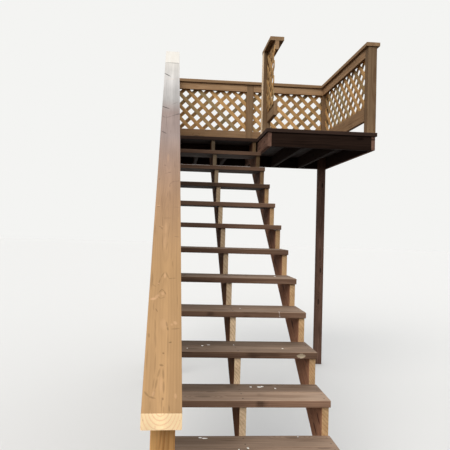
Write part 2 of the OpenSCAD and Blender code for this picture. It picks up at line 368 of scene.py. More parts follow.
def knots(tree, wood, data):
    """How much a place is part of a knot, and how far the knot pushes the rings aside."""
    spot = add(tree, "ShaderNodeVectorMath", {"operation": "MULTIPLY"},
               {0: data.log, 1: (*scale_of(*KNOT_ROOM), 0.0)}).outputs[0]
    cell = add(tree, "ShaderNodeTexVoronoi", {"voronoi_dimensions": "2D"},
               {"Vector": spot, "Scale": 1.0, "Randomness": 0.9})
    far = add(tree, "ShaderNodeMath", {"operation": "DIVIDE"},
              {0: cell.outputs["Distance"], 1: KNOT_RADIUS}).outputs[0]
    # Where no knot grows, its distance is made too large to matter
    pick = add(tree, "ShaderNodeSeparateXYZ", None, {0: cell.outputs["Color"]}).outputs[0]
    none = add(tree, "ShaderNodeMath", {"operation": "GREATER_THAN"},
               {0: pick, 1: wood.knot_share}).outputs[0]
    near = add(tree, "ShaderNodeMath", {"operation": "MULTIPLY_ADD"},
               {0: none, 1: NO_KNOT, 2: far}).outputs[0]
    knot = add(tree, "ShaderNodeMapRange", {"interpolation_type": "SMOOTHSTEP"}, {
        "Value": near, "From Min": KNOT_RIM[0], "From Max": KNOT_RIM[1],
        "To Min": 0.0, "To Max": 1.0}).outputs[0]
    swell = add(tree, "ShaderNodeMapRange", {"interpolation_type": "SMOOTHSTEP"}, {
        "Value": near, "From Min": SWELL[0], "From Max": SWELL[1],
        "To Min": 0.0, "To Max": SWELL[2] * MM}).outputs[0]
    return knot, swell


def pith_line(tree, wood, data):
    """The pith's place beside each point of a board: to one side in most boards, or on the stops of stem."""
    if not wood.stem:
        aside = add(tree, "ShaderNodeMath", {"operation": "MULTIPLY_ADD"},
                    {0: data.seed, 1: 2 * PITH_ASIDE, 2: -PITH_ASIDE}).outputs[0]
        return add(tree, "ShaderNodeCombineXYZ", None, {1: aside, 2: data.pith}).outputs[0]
    run = add(tree, "ShaderNodeMapRange", None, {
        "Value": data.place[0], "From Min": wood.stem[0][0], "From Max": wood.stem[-1][0]}).outputs[0]
    stops = [(x, (0.5, 0.5 + side * PITH_GAIN, 0.5 + up * PITH_GAIN)) for x, side, up in wood.stem]
    core = add(tree, "ShaderNodeValToRGB", None, {0: run}, shares(stops))
    core.color_ramp.interpolation = "EASE"
    core = add(tree, "ShaderNodeVectorMath", {"operation": "SUBTRACT"},
               {0: core.outputs[0], 1: (0.5, 0.5, 0.5)}).outputs[0]
    return add(tree, "ShaderNodeVectorMath", {"operation": "SCALE"},
               {0: core, "Scale": 1 / PITH_GAIN}).outputs[0]


def year_rings(tree, wood, data, swell):
    """How much of a place is late wood, and the place as it is once the stem's bends are in it."""
    # The stem isn't straight, so the rings wander along the board
    slow = add(tree, "ShaderNodeVectorMath", {"operation": "MULTIPLY"},
               {0: data.log, 1: scale_of(BEND[0], BEND[1], BEND[1])}).outputs[0]
    bend = add(tree, "ShaderNodeTexNoise", None,
               {"Vector": slow, "Scale": 1.0, "Detail": 2.0}).outputs["Color"]
    bend = add(tree, "ShaderNodeVectorMath", {"operation": "SUBTRACT"},
               {0: bend, 1: (0.5, 0.5, 0.5)}).outputs[0]
    bend = add(tree, "ShaderNodeVectorMath", {"operation": "MULTIPLY"},
               {0: bend, 1: (0.0, wood.wander, wood.wander)}).outputs[0]
    bent = add(tree, "ShaderNodeVectorMath", {"operation": "ADD"}, {0: data.grain, 1: bend}).outputs[0]

    # Rings are counted outward from the pith, and run round the knots
    off = add(tree, "ShaderNodeVectorMath", {"operation": "SUBTRACT"},
              {0: bent, 1: pith_line(tree, wood, data)}).outputs[0]
    off = add(tree, "ShaderNodeVectorMath", {"operation": "MULTIPLY"},
              {0: off, 1: (0.0, 1.0, 1.0)}).outputs[0]
    radius = add(tree, "ShaderNodeVectorMath", {"operation": "LENGTH"}, {0: off}).outputs["Value"]
    radius = add(tree, "ShaderNodeMath", {"operation": "ADD"}, {0: radius, 1: swell}).outputs[0]
    count = add(tree, "ShaderNodeMath", {"operation": "DIVIDE"}, {0: radius, 1: wood.ring * MM}).outputs[0]
    year = add(tree, "ShaderNodeMath", {"operation": "FRACT"}, {0: count}).outputs[0]
    late = add(tree, "ShaderNodeValToRGB", None, {0: year}, YEAR).outputs[0]
    return late, bent


def wood_colour(tree, wood, data, marks, late, knot):
    """Colour before any shading: rings and streaks, edges and ends of their own colour, and knots."""
    # Rings and streaks come together round a mean that keeps the whole between pale and dark
    mean = DARK_LEVEL - RING_MEAN * wood.contrast - wood.streaks / 2
    mixed = add(tree, "ShaderNodeMath", {"operation": "MULTIPLY_ADD"},
                {0: late, 1: RING_GAIN * wood.contrast, 2: mean}).outputs[0]
    mixed = add(tree, "ShaderNodeMath", {"operation": "MULTIPLY_ADD", "use_clamp": True},
                {0: marks["streak"], 1: wood.streaks, 2: mixed}).outputs[0]
    if wood.along:
        # The weather changed the board from end to end, and rings and streaks make that lighter and darker
        run = add(tree, "ShaderNodeMapRange", None, {
            "Value": data.place[0], "From Min": wood.along[0][0], "From Max": wood.along[-1][0]}).outputs[0]
        body = add(tree, "ShaderNodeValToRGB", None, {0: run}, shares(wood.along)).outputs[0]
        level = add(tree, "ShaderNodeMapRange", None,
                    {"Value": mixed, "To Min": EARLY_TONE, "To Max": LATE_TONE}).outputs[0]
        body = add(tree, "ShaderNodeVectorMath", {"operation": "SCALE"}, {0: body, "Scale": level}).outputs[0]
    else:
        body = add(tree, "ShaderNodeMix", {"data_type": "RGBA"},
                   {0: mixed, 6: (*wood.pale, 1), 7: (*wood.dark, 1)}).outputs[2]
    if wood.edge:
        # Edges and undersides keep the stain that feet wore off the top, darkened partly as painted shade
        pale, dark = wood.edge
        kept = add(tree, "ShaderNodeMix", {"data_type": "RGBA"},
                   {0: mixed, 6: (*pale, 1), 7: (*dark, 1)}).outputs[2]
        body = add(tree, "ShaderNodeMix", {"data_type": "RGBA"},
                   {0: data.is_top, 6: kept, 7: body}).outputs[2]
    if wood.end:
        # Cut ends show the late wood as thin lines that fade in and out
        pale, dark = wood.end
        faint = add(tree, "ShaderNodeMath", {"operation": "POWER"}, {0: late, 1: END_THINNING}).outputs[0]
        faint = add(tree, "ShaderNodeMath", {"operation": "MULTIPLY", "use_clamp": True},
                    {0: faint, 1: marks["blotch"]}).outputs[0]
        ends = add(tree, "ShaderNodeMix", {"data_type": "RGBA"},
                   {0: faint, 6: (*pale, 1), 7: (*dark, 1)}).outputs[2]
        body = add(tree, "ShaderNodeMix", {"data_type": "RGBA"},
                   {0: data.is_end, 6: body, 7: ends}).outputs[2]
    # Knots are dense and dark
    heart = tuple(c * KNOT_TONE for c in wood.dark)
    shown = add(tree, "ShaderNodeMath", {"operation": "MULTIPLY"}, {0: knot, 1: wood.knot_dark}).outputs[0]
    return add(tree, "ShaderNodeMix", {"data_type": "RGBA"}, {0: shown, 6: body, 7: (*heart, 1)}).outputs[2]


def wood_tone(tree, wood, data, marks, bent):
    """Tone of a place, from blotches, fibres and the board's own tone, and the share of the fibres in it."""
    shade = add(tree, "ShaderNodeMapRange", None, {
        "Value": marks["blotch"], "From Min": BROAD[0], "From Max": BROAD[1],
        "To Min": 1 - wood.stain, "To Max": 1 + wood.stain}).outputs[0]
    fibres = add(tree, "ShaderNodeMapRange", None, {
        "Value": marks["fibre"], "From Min": FINE[0], "From Max": FINE[1],
        "To Min": 1 - wood.fibre, "To Max": 1 + wood.fibre}).outputs[0]
    shade = add(tree, "ShaderNodeMath", {"operation": "MULTIPLY"}, {0: shade, 1: fibres}).outputs[0]
    shade = add(tree, "ShaderNodeMath", {"operation": "MULTIPLY"}, {0: shade, 1: data.tone}).outputs[0]
    if wood.across:
        side = add(tree, "ShaderNodeSeparateXYZ", None, {0: bent}).outputs[1]
        run = add(tree, "ShaderNodeMapRange", None, {
            "Value": side, "From Min": wood.across[0][0], "From Max": wood.across[-1][0]}).outputs[0]
        stops = [(y, (level * TONE_GAIN,) * 3) for y, level in wood.across]
        band = add(tree, "ShaderNodeValToRGB", None, {0: run}, shares(stops)).outputs[0]
        band = add(tree, "ShaderNodeMath", {"operation": "MULTIPLY"}, {0: band, 1: 1 / TONE_GAIN}).outputs[0]
        shade = add(tree, "ShaderNodeMath", {"operation": "MULTIPLY"}, {0: shade, 1: band}).outputs[0]
    return shade, fibres


def lay_strokes(tree, data, strokes, shown):
    """Strokes that lie where the real board has them, each a half width, a strength and its points.

    shown is what was there before, and what is stronger shows.
    """
    for width, strong, *points in strokes:
        for (ax, ay), (bx, by) in zip(points, points[1:]):
            turn = math.atan2(by - ay, bx - ax)
            reach = math.hypot(bx - ax, by - ay) / 2 + width
            local = add(tree, "ShaderNodeMapping", {"vector_type": "TEXTURE"}, {
                0: data.grain, 1: ((ax + bx) / 2, (ay + by) / 2, 0),
                2: (0, 0, turn), 3: (reach, width, 1)}).outputs[0]
            mark = add(tree, "ShaderNodeTexGradient", {"gradient_type": "SPHERICAL"},
                       {0: local}).outputs["Fac"]
            mark = add(tree, "ShaderNodeMapRange", {"interpolation_type": "SMOOTHSTEP"}, {
                "Value": mark, "From Min": 0.0, "From Max": STROKE_RIM,
                "To Min": 0.0, "To Max": strong}).outputs[0]
            shown = add(tree, "ShaderNodeMath", {"operation": "MAXIMUM"}, {0: shown, 1: mark}).outputs[0]
    return shown


def rub_edges(tree, wood, data, marks, shaded):
    """The colour with the edges of the board rubbed paler than its faces."""
    inward = []
    for axis in (1, 2):
        off = add(tree, "ShaderNodeMath", {"operation": "ABSOLUTE"}, {0: data.place[axis]}).outputs[0]
        inward.append(add(tree, "ShaderNodeMath", {"operation": "SUBTRACT"},
                          {0: data.half[axis], 1: off}).outputs[0])
    rim = add(tree, "ShaderNodeMath", {"operation": "ADD"}, {0: inward[0], 1: inward[1]}).outputs[0]
    rim = add(tree, "ShaderNodeMapRange", {"interpolation_type": "SMOOTHSTEP"}, {
        "Value": rim, "From Min": RUB_DEPTHS[0] * MM, "From Max": RUB_DEPTHS[1] * MM,
        "To Min": 0.0, "To Max": 1.0}).outputs[0]
    worn = add(tree, "ShaderNodeMath", {"operation": "MULTIPLY"}, {0: rim, 1: marks["blotch"]}).outputs[0]
    worn = add(tree, "ShaderNodeMath", {"operation": "MULTIPLY", "use_clamp": True},
               {0: worn, 1: wood.wear * RUB_GAIN}).outputs[0]
    rubbed = add(tree, "ShaderNodeVectorMath", {"operation": "SCALE"},
                 {0: shaded, "Scale": RUB_TONE}).outputs[0]
    return add(tree, "ShaderNodeMix", {"data_type": "RGBA"}, {0: worn, 6: shaded, 7: rubbed}).outputs[2]


def timber(name, pale, dark, **traits):
    """Sawn softwood: a solid pattern of year rings round the pith, so that faces and ends agree.

    traits are the values of Wood in which the boards differ from its defaults.
    """
    wood = Wood(pale, dark, **traits)
    material = empty_material(name)
    tree = material.node_tree
    data = board_data(tree)
    marks = draw_marks(tree, data)
    knot, swell = knots(tree, wood, data)
    late, bent = year_rings(tree, wood, data, swell)
    body = wood_colour(tree, wood, data, marks, late, knot)
    shade, fibres = wood_tone(tree, wood, data, marks, bent)

    # Drying checks are thin dark splits along the grain
    split = add(tree, "ShaderNodeMapRange", {"interpolation_type": "SMOOTHSTEP"}, {
        "Value": marks["check"], "From Min": SPLIT[0], "From Max": SPLIT[1],
        "To Min": 0.0, "To Max": wood.checks}).outputs[0]
    scarred = lay_strokes(tree, data, wood.scars, split)
    left = add(tree, "ShaderNodeMath", {"operation": "SUBTRACT"}, {0: 1.0, 1: scarred}).outputs[0]
    shade = add(tree, "ShaderNodeMath", {"operation": "MULTIPLY"}, {0: shade, 1: left}).outputs[0]
    shaded = add(tree, "ShaderNodeVectorMath", {"operation": "SCALE"}, {0: body, "Scale": shade}).outputs[0]
    if wood.gleams:
        cream = (*(c * gain for c, gain in zip(pale, GLEAM_GAINS)), 1)
        gleam = lay_strokes(tree, data, wood.gleams, 0.0)
        shaded = add(tree, "ShaderNodeMix", {"data_type": "RGBA"}, {0: gleam, 6: shaded, 7: cream}).outputs[2]
    final = rub_edges(tree, wood, data, marks, shaded)
    if wood.bare:
        torn = add(tree, "ShaderNodeAttribute", {"attribute_name": "torn"}).outputs["Fac"]
        inner = add(tree, "ShaderNodeVectorMath", {"operation": "SCALE"},
                    {0: (*wood.bare,), "Scale": fibres}).outputs[0]
        final = add(tree, "ShaderNodeMix", {"data_type": "RGBA"}, {0: torn, 6: final, 7: inner}).outputs[2]

    # Soft early wood wears below the hard late wood, and splits are open. Strokes stay out of the relief
    height = add(tree, "ShaderNodeMath", {"operation": "MULTIPLY_ADD"},
                 {0: late, 1: LATE_HEIGHT, 2: marks["fibre"]}).outputs[0]
    height = add(tree, "ShaderNodeMath", {"operation": "MULTIPLY_ADD"},
                 {0: split, 1: -SPLIT_DEPTH, 2: height}).outputs[0]
    bump = add(tree, "ShaderNodeBump", None,
               {"Strength": wood.relief, "Distance": RELIEF_HEIGHT * MM, "Height": height}).outputs[0]
    dull = add(tree, "ShaderNodeMapRange", None, {
        "Value": marks["fibre"], "From Min": FINE[0], "From Max": FINE[1],
        "To Min": wood.roughness - SMOOTHER, "To Max": wood.roughness + ROUGHER}).outputs[0]
    shader = add(tree, "ShaderNodeBsdfPrincipled", None, {
        "Base Color": final, "Roughness": dull, "IOR": 1.5, "Specular IOR Level": wood.gloss, "Normal": bump})
    add(tree, "ShaderNodeOutputMaterial", None, {0: shader.outputs[0]})
    return material


def coating(name, tint, roughness, metallic, speckle, grit):
    """Metal or paint in small pieces: one colour, broken up by dirt with grains of grit millimetres."""
    material = empty_material(name)
    tree = material.node_tree
    where = add(tree, "ShaderNodeTexCoord").outputs["Object"]
    dirt = add(tree, "ShaderNodeTexNoise", None,
               {"Vector": where, "Scale": 1 / (grit * MM), "Detail": 3.0}).outputs["Fac"]
    level = add(tree, "ShaderNodeMapRange", None, {
        "Value": dirt, "From Min": FINE[0], "From Max": FINE[1],
        "To Min": 1 - speckle, "To Max": 1 + speckle}).outputs[0]
    tone = add(tree, "ShaderNodeVectorMath", {"operation": "SCALE"},
               {0: tuple(tint), "Scale": level}).outputs[0]
    dull = add(tree, "ShaderNodeMapRange", None, {
        "Value": dirt, "From Min": FINE[0], "From Max": FINE[1],
        "To Min": roughness + DIRT_ROUGHNESS, "To Max": roughness - DIRT_ROUGHNESS}).outputs[0]
    bump = add(tree, "ShaderNodeBump", None,
               {"Strength": DIRT_RELIEF, "Distance": DIRT_HEIGHT * MM, "Height": dirt}).outputs[0]
    shader = add(tree, "ShaderNodeBsdfPrincipled", None,
                 {"Base Color": tone, "Roughness": dull, "Metallic": metallic, "Normal": bump})
    add(tree, "ShaderNodeOutputMaterial", None, {0: shader.outputs[0]})
    return material


# How close two points have to be to be one, and a point to a cut to lie on it
WELD = 0.01 * MM
SNAP = 0.0005 * MM

# Angles between faces in degrees: below which they are one face, from which their shading parts, and from
# which they meet in a cut edge
FLAT, CREASE, SHARP = 1, 24, 40


def islands(node):
    """The separate solids of a construction node, each as a bmesh, in a fixed order."""
    whole = bmesh.new()
    whole.from_mesh(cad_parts[node].data)
    bmesh.ops.remove_doubles(whole, verts=whole.verts, dist=WELD)
    whole.verts.ensure_lookup_table()
    seen = set()
    found = []
    for start in whole.verts:
        if start.index in seen:
            continue
        group, front = [], [start]
        seen.add(start.index)
        while front:
            v = front.pop()
            group.append(v)
            for edge in v.link_edges:
                other = edge.other_vert(v)
                if other.index not in seen:
                    seen.add(other.index)
                    front.append(other)
        part = bmesh.new()
        copies = {v.index: part.verts.new(v.co) for v in group}
        for face in dict.fromkeys(f for v in group for f in v.link_faces):
            part.faces.new([copies[v.index] for v in face.verts])
        found.append(part)
    whole.free()
    return sorted(found, key=lambda b: tuple(round(min(v.co[i] for v in b.verts), 4) for i in (1, 0, 2)))


def corners(part):
    """Lowest and highest corner of a bmesh."""
    low = Vector([min(v.co[i] for v in part.verts) for i in range(3)])
    high = Vector([max(v.co[i] for v in part.verts) for i in range(3)])
    return low, high


def axes_of(part, along=None):
    """Directions along, across and through a board, from its box or from the way that it slopes."""
    low, high = corners(part)
    if along is None:
        order = sorted(range(3), key=lambda i: -round(high[i] - low[i], 3))
        return [Vector([float(j == i) for j in range(3)]) for i in order]
    side = along.cross(UP).normalized()
    upper = side.cross(along).normalized()
    wide, tall = (
        max(v.co.dot(a) for v in part.verts) - min(v.co.dot(a) for v in part.verts) for a in (side, upper))
    return [along, side, upper] if wide > tall else [along, upper, side]


def smooth(value, start, end):
    """How far a value has come from start to end, from 0 to 1 and eased at both."""
    t = min(1.0, max(0.0, (value - start) / (end - start)))
    return t * t * (3 - 2 * t)


def wear_arrises(part):
    """Rounds the cut edges of a board by the width of a worn arris."""
    arris = bpy.context.scene.deck_stair_sizes.arris
    bmesh.ops.dissolve_limit(part, angle_limit=math.radians(FLAT), verts=part.verts, edges=part.edges)
    sharp = [e for e in part.edges if len(e.link_faces) == 2 and e.calc_face_angle() > math.radians(SHARP)]
    bmesh.ops.bevel(part, geom=sharp, offset=arris, segments=2, profile=0.6, affect="EDGES",
                    clamp_overlap=True)


def measure(part, axes):
    """Middle of a board, and half its size along each of its axes."""
    centre, half = Vector(), []
    for axis in axes:
        reach = [v.co.dot(axis) for v in part.verts]
        centre += axis * (max(reach) + min(reach)) / 2
        half.append((max(reach) - min(reach)) / 2)
    return centre, half


def slice_up(part, axes, centre, half, spacing, extra):
    """Cuts a board's faces into a net with at most spacing between its lines, for its waves and tones.

    extra are more cuts, each an axis and a point on the cut.
    """
    planes = []
    for axis, gap, reach in zip(axes, spacing, half):
        cuts = int(2 * reach / gap)
        planes += [(centre + axis * (-reach + 2 * reach * k / (cuts + 1)), axis) for k in range(1, cuts + 1)]
    for at, axis in planes + [(Vector(at), Vector(axis)) for axis, at in extra]:
        bmesh.ops.bisect_plane(part, geom=part.verts[:] + part.edges[:] + part.faces[:],
                               plane_co=at, plane_no=axis, dist=SNAP)
    bmesh.ops.triangulate(part, faces=[f for f in part.faces if len(f.verts) > 4])
    part.normal_update()


# Waves in a board's surface and its bow, as how many lie in a metre along, across and through it
WAVES = (2.2, 14, 14)
BOWS = 1.1

# How far apart boards lie in the noise that shapes them, and where it is read for the bow
NOISE_GAPS = (91, 37, 13)
BOW_PLACE = (3.0, 7.0)

# Share of the unevenness by which a surface is set in, so that the board keeps its size
SET_IN = 0.4

# How far off the pith lies in a board, in metres
PITH_NEAR, PITH_FAR = 0.03, 0.10


def dress(part, axes, rng, spacing, tone=1.0, own=None, pith=None, sawn=None, bow=0.0, extra=(), dent=None):
    """Turns the plain solid of one board into a worn one, and tells its material what board_data reads.

    tone is a number, or a function of a point and its normal. sawn picks the faces that take the
    second material. dent is a function that gives how deep a point sinks, and 1 where the wood is torn.
    """
    wear_arrises(part)
    centre, half = measure(part, axes)
    slice_up(part, axes, centre, half, spacing, extra)
    if own is None:
        own = rng.random()
    if pith is None:
        pith = rng.uniform(PITH_NEAR, PITH_FAR) * rng.choice((-1, 1))
    amount = bpy.context.scene.deck_stair_sizes.unevenness
    start = Vector([own * gap for gap in NOISE_GAPS])
    grain_layer, half_layer, board_layer = (
        part.verts.layers.float_vector.new(name) for name in ("grain", "half", "board"))
    torn_layer = part.verts.layers.float.new("torn")
    face_layer = part.faces.layers.float_vector.new("face")
    moves = {}
    for v in part.verts:
        place = Vector([(v.co - centre).dot(a) for a in axes])
        v[grain_layer] = place
        v[half_layer] = half
        v[board_layer] = (own, tone(v.co, v.normal) if callable(tone) else tone, pith)
        wave = noise.noise(start + Vector([p * often for p, often in zip(place, WAVES)]))
        slow = noise.noise(start + Vector((place.x * BOWS, *BOW_PLACE)))
        depth, torn = dent(v.co) if dent else (0.0, 0.0)
        v[torn_layer] = torn
        moves[v] = v.normal * (wave * amount - SET_IN * amount - depth) + axes[2] * (slow * bow)
    for f in part.faces:
        toward = f.normal.dot(axes[0])
        f[face_layer] = (float(abs(toward) > 0.5), float(f.normal.z > 0.5), 0.0)
        if sawn and sawn(f):
            f.material_index = 1
    for v, move in moves.items():
        v.co += move
        v.co.z = max(v.co.z, 0.0)
    return part


def finish_piece(name, parts, materials, nodes=()):
    """Joins dressed boards into one object that stands for construction nodes."""
    mesh = bpy.data.meshes.new(name)
    joined = bmesh.new()
    for part in parts:
        single = bpy.data.meshes.new("board")
        part.to_mesh(single)
        part.free()
        joined.from_mesh(single)
        bpy.data.meshes.remove(single)
    joined.to_mesh(mesh)
    joined.free()
    for polygon in mesh.polygons:
        polygon.use_smooth = True
    mesh.set_sharp_from_angle(angle=math.radians(CREASE))
    for material in materials:
        mesh.materials.append(material)
    piece = bpy.data.objects.new(name, mesh)
    bpy.context.scene.collection.objects.link(piece)
    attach(piece, "root")
    if nodes:
        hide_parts(*nodes)
    return piece


def boards(name, nodes, materials, slot, spacing=(0.06, 0.028, 0.05), along=None, tones=(0.92, 1.08), seed=1,
           tone=None, **more):
    """Dresses every board of some construction nodes as one piece."""
    rng = random.Random(seed)
    parts = []
    for node in nodes:
        for part in islands(node):
            own = rng.uniform(*tones)
            level = (lambda co, normal, own=own: own * tone(co, normal)) if tone else own
            parts.append(dress(part, axes_of(part, along), rng, spacing, tone=level, **more))
    return finish_piece(name, parts, materials, nodes)


# Heads of fasteners: how many sides they have, how far every second side of the recess stands in, and their
# outline from the wood up, as shares of the radius and heights in millimetres
HEADS = {
    "screw": (12, 0.62, ((0.7, -4.0), (1.0, -0.4), (0.93, 0.2), (0.55, 0.1), (0.45, -1.6))),
    "bolt": (16, 1.0, ((0.9, -3.0), (1.0, -0.2), (1.0, 0.8), (0.86, 3.0), (0.6, 4.6), (0.25, 5.3))),
}


def turned_head(bm, at, normal, kind, radius, turn):
    """One head: rings of its outline round a normal, with a lobed recess in a screw."""
    sides, lobes, outline = HEADS[kind]
    normal = Vector(normal).normalized()
    side = normal.orthogonal().normalized()
    third = normal.cross(side)
    rings = []
    for k, (share, height) in enumerate(outline):
        ring = []
        for i in range(sides):
            angle = turn + 2 * math.pi * i / sides
            r = radius * share
            if k >= len(outline) - 2 and i % 2:
                r *= lobes
            ring.append(bm.verts.new(
                at + side * (r * math.cos(angle)) + third * (r * math.sin(angle)) + normal * (height * MM)))
        rings.append(ring)
    for a, b in zip(rings, rings[1:]):
        for i in range(sides):
            j = (i + 1) % sides
            bm.faces.new((a[i], a[j], b[j], b[i]))
    bm.faces.new(rings[-1])
    bm.faces.new(rings[0][::-1])


def heads(name, places, material, seed, kind="screw"):
    """Screw or bolt heads at places, each a point on the surface and the direction it faces."""
    sizes = bpy.context.scene.deck_stair_sizes
    radius = (sizes.screw_head if kind == "screw" else sizes.bolt_head) / 2
    rng = random.Random(seed)
    bm = bmesh.new()
    for at, normal in places:
        turned_head(bm, Vector(at), normal, kind, radius, rng.uniform(0, 1))
    return finish_piece(name, [bm], [material])


# How light each tread is, from the lowest up: top of the front board, top of the rear board, front edge
# Boards differ in tone, and the upper treads are darker by painted shade under the deck
TREAD_TONES = (
    (1.13, 1.03, 1.16), (1.08, 0.98, 1.21), (1.24, 1.19, 1.31), (1.42, 0.85, 1.66), (1.00, 0.74, 0.97),
    (1.05, 0.99, 1.34), (1.03, 0.91, 1.12), (0.79, 0.82, 1.01), (0.82, 0.82, 1.05), (0.82, 0.77, 1.11),
    (0.72, 0.72, 0.55), (0.77, 0.77, 1.00), (0.77, 0.77, 0.98),
)

# How far the boards differ from these tones
TREAD_SPREAD = (0.97, 1.03)

# From where to where the treads get lighter, out of the handrail's shade, and the tones at both
SHADE_END, LIGHT_START = -0.36, 0.30
SHADE_TONE, LIGHT_TONE = 0.60, 1.06

# Painted shade on a tread's underside: its tone beside that of its top or edge
UNDER_TREAD_SHADE = 0.35

# Smudges round knots: tread, on its top, place along it and across or up it, half sizes and strength
SMUDGES = (
    (3, True, 0.006, 0.412, 0.016, 0.014, 0.40), (3, True, -0.220, 0.350, 0.050, 0.030, 0.20),
    (4, True, 0.102, 0.096, 0.022, 0.022, 0.22), (4, True, -0.050, 0.222, 0.030, 0.022, 0.32),
    (4, True, -0.165, 0.140, 0.028, 0.010, 0.40), (4, False, 0.092, 0.020, 0.028, 0.026, 0.58),
    (4, False, -0.020, 0.016, 0.090, 0.016, 0.16), (5, False, 0.088, 0.018, 0.040, 0.020, 0.46),
    (5, False, 0.160, 0.024, 0.050, 0.014, 0.32), (5, False, 0.226, 0.020, 0.034, 0.012, 0.32),
    (5, True, 0.100, 0.040, 0.040, 0.030, 0.14), (6, False, -0.150, 0.022, 0.030, 0.020, 0.46),
    (6, False, 0.080, 0.008, 0.030, 0.012, 0.30), (6, True, -0.100, 0.060, 0.060, 0.020, 0.16),
    (7, False, -0.280, 0.016, 0.120, 0.020, 0.35), (8, True, 0.050, 0.090, 0.060, 0.030, 0.16),
)

# A smudge is full where this start, less this fall for each half size outward, is over 1. Its rim is ragged,
# with so many waves in a metre, by such a share of the half size
SMUDGE_START, SMUDGE_FALL = 1.5, 1.2
SMUDGE_WAVES, SMUDGE_RAGGED = 60, 0.35

# A knot broke out of the fifth tread's front edge: its place from the tread's left lower corner, half its
# width, its height above and below the middle, how deep it goes, and how far apart it is cut. Its rim and its
# floor are ragged, with so many waves in a metre
TORN_TREAD = "tread_05"
TORN_PLACE = Vector((0.8590, 0, 0.0185))
TORN_WIDE, TORN_UP, TORN_DOWN = 0.029, 0.0125, 0.0165
TORN_DEEP = 0.0024
TORN_CUT = 0.002
TORN_RIM, TORN_FLOOR = 160, 300

# Where two screws hold a board to each stringer, as shares of the board's width
SCREW_SHARES = (0.25, 0.78)

# How far a screw strays from its row
STRAY = 4 * MM

# Drops of white paint that dried where they fell: place, tread and half sizes
DROPS = (
    (0.074, 0.866, 4, 0.006, 0.008), (0.124, 0.866, 4, 0.014, 0.012), (0.142, 0.874, 4, 0.009, 0.010),
    (0.214, 0.842, 4, 0.006, 0.009), (-0.006, 1.074, 5, 0.005, 0.006), (0.287, 0.997, 5, 0.005, 0.009),
    (-0.166, 1.068, 5, 0.014, 0.005), (-0.205, 1.050, 5, 0.008, 0.006), (0.357, 1.600, 7, 0.007, 0.009),
    (-0.206, 0.624, 3, 0.014, 0.006), (-0.230, 0.632, 3, 0.009, 0.006), (0.008, 0.507, 3, 0.006, 0.008),
    (-0.041, 0.491, 3, 0.004, 0.005), (0.300, 0.640, 3, 0.005, 0.005), (0.3005, 1.1785, 6, 0.004, 0.011),
    (0.060, 1.300, 6, 0.004, 0.007), (0.330, 0.470, 3, 0.004, 0.004), (-0.30, 0.98, 5, 0.004, 0.004),
)

# One drop ran over the front of the sixth tread: place along it, how far under its top, and half its length
RUN_TREAD = "tread_06"
RUNS = ((0.3005, 0.007, 0.009), (0.3030, 0.018, 0.006), (0.3040, 0.028, 0.007))
RUN_WIDE = 0.0034

# Corners in the outline of a drop and of a run, how far a drop's wander, and the share of it that is flat
DROP_CORNERS, RUN_CORNERS = 14, 12
DROP_RAGGED = 0.22
DROP_FLAT = 0.6

# How much larger a drop dried than its half sizes say
DROP_SPREAD = 1.2


def tread_tone(number, row, own):
    """Tone of one board of a tread. number counts the treads from 1, row is 0 in front and 1 behind."""
    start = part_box(TREADS[number - 1])[0]
    top_tone, edge_tone = TREAD_TONES[number - 1][row], TREAD_TONES[number - 1][2]
    smudges = [smudge[1:] for smudge in SMUDGES if smudge[0] == number]

    def tone(co, normal):
        top = normal.z > 0.6
        light = SHADE_TONE + (LIGHT_TONE - SHADE_TONE) * smooth(co.x, SHADE_END, LIGHT_START)
        level = own * (top_tone if top else edge_tone) * light
        for on_top, x, other, wide, deep, strong in smudges:
            if on_top == top:
                off = (co.y - start.y if top else co.z - start.z) - other
                gap = math.hypot((co.x - x) / wide, off / deep)
                gap += SMUDGE_RAGGED * noise.noise(co * SMUDGE_WAVES)
                level *= 1 - strong * max(0.0, min(1.0, SMUDGE_START - SMUDGE_FALL * gap))
        # Undersides take painted shade
        return UNDER_TREAD_SHADE * level if normal.z < -0.7 else level

    return tone


def torn_knot():
    """Cuts that are fine enough for the knot that broke out, and how deep a point sinks there."""
    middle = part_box(TORN_TREAD)[0] + TORN_PLACE
    cuts = [((1, 0, 0), middle + Vector((k * TORN_CUT, 0, 0))) for k in range(-15, 16)]
    cuts += [((0, 0, 1), middle + Vector((0, 0, k * TORN_CUT))) for k in range(-7, 8)]

    def dent(co):
        tall = TORN_UP if co.z > middle.z else TORN_DOWN
        ragged = (abs(co.x - middle.x) / TORN_WIDE) ** 1.6 + abs(co.z - middle.z) / tall
        ragged += 0.25 * noise.noise(co * TORN_RIM)
        # Only the front face sinks
        if abs(co.y - middle.y) > 4 * MM or ragged > 1:
            return 0.0, 0.0
        return TORN_DEEP * (1 - ragged * ragged) + TORN_DEEP / 4 * noise.noise(co * TORN_FLOOR), 1.0

    return {"extra": cuts, "dent": dent}


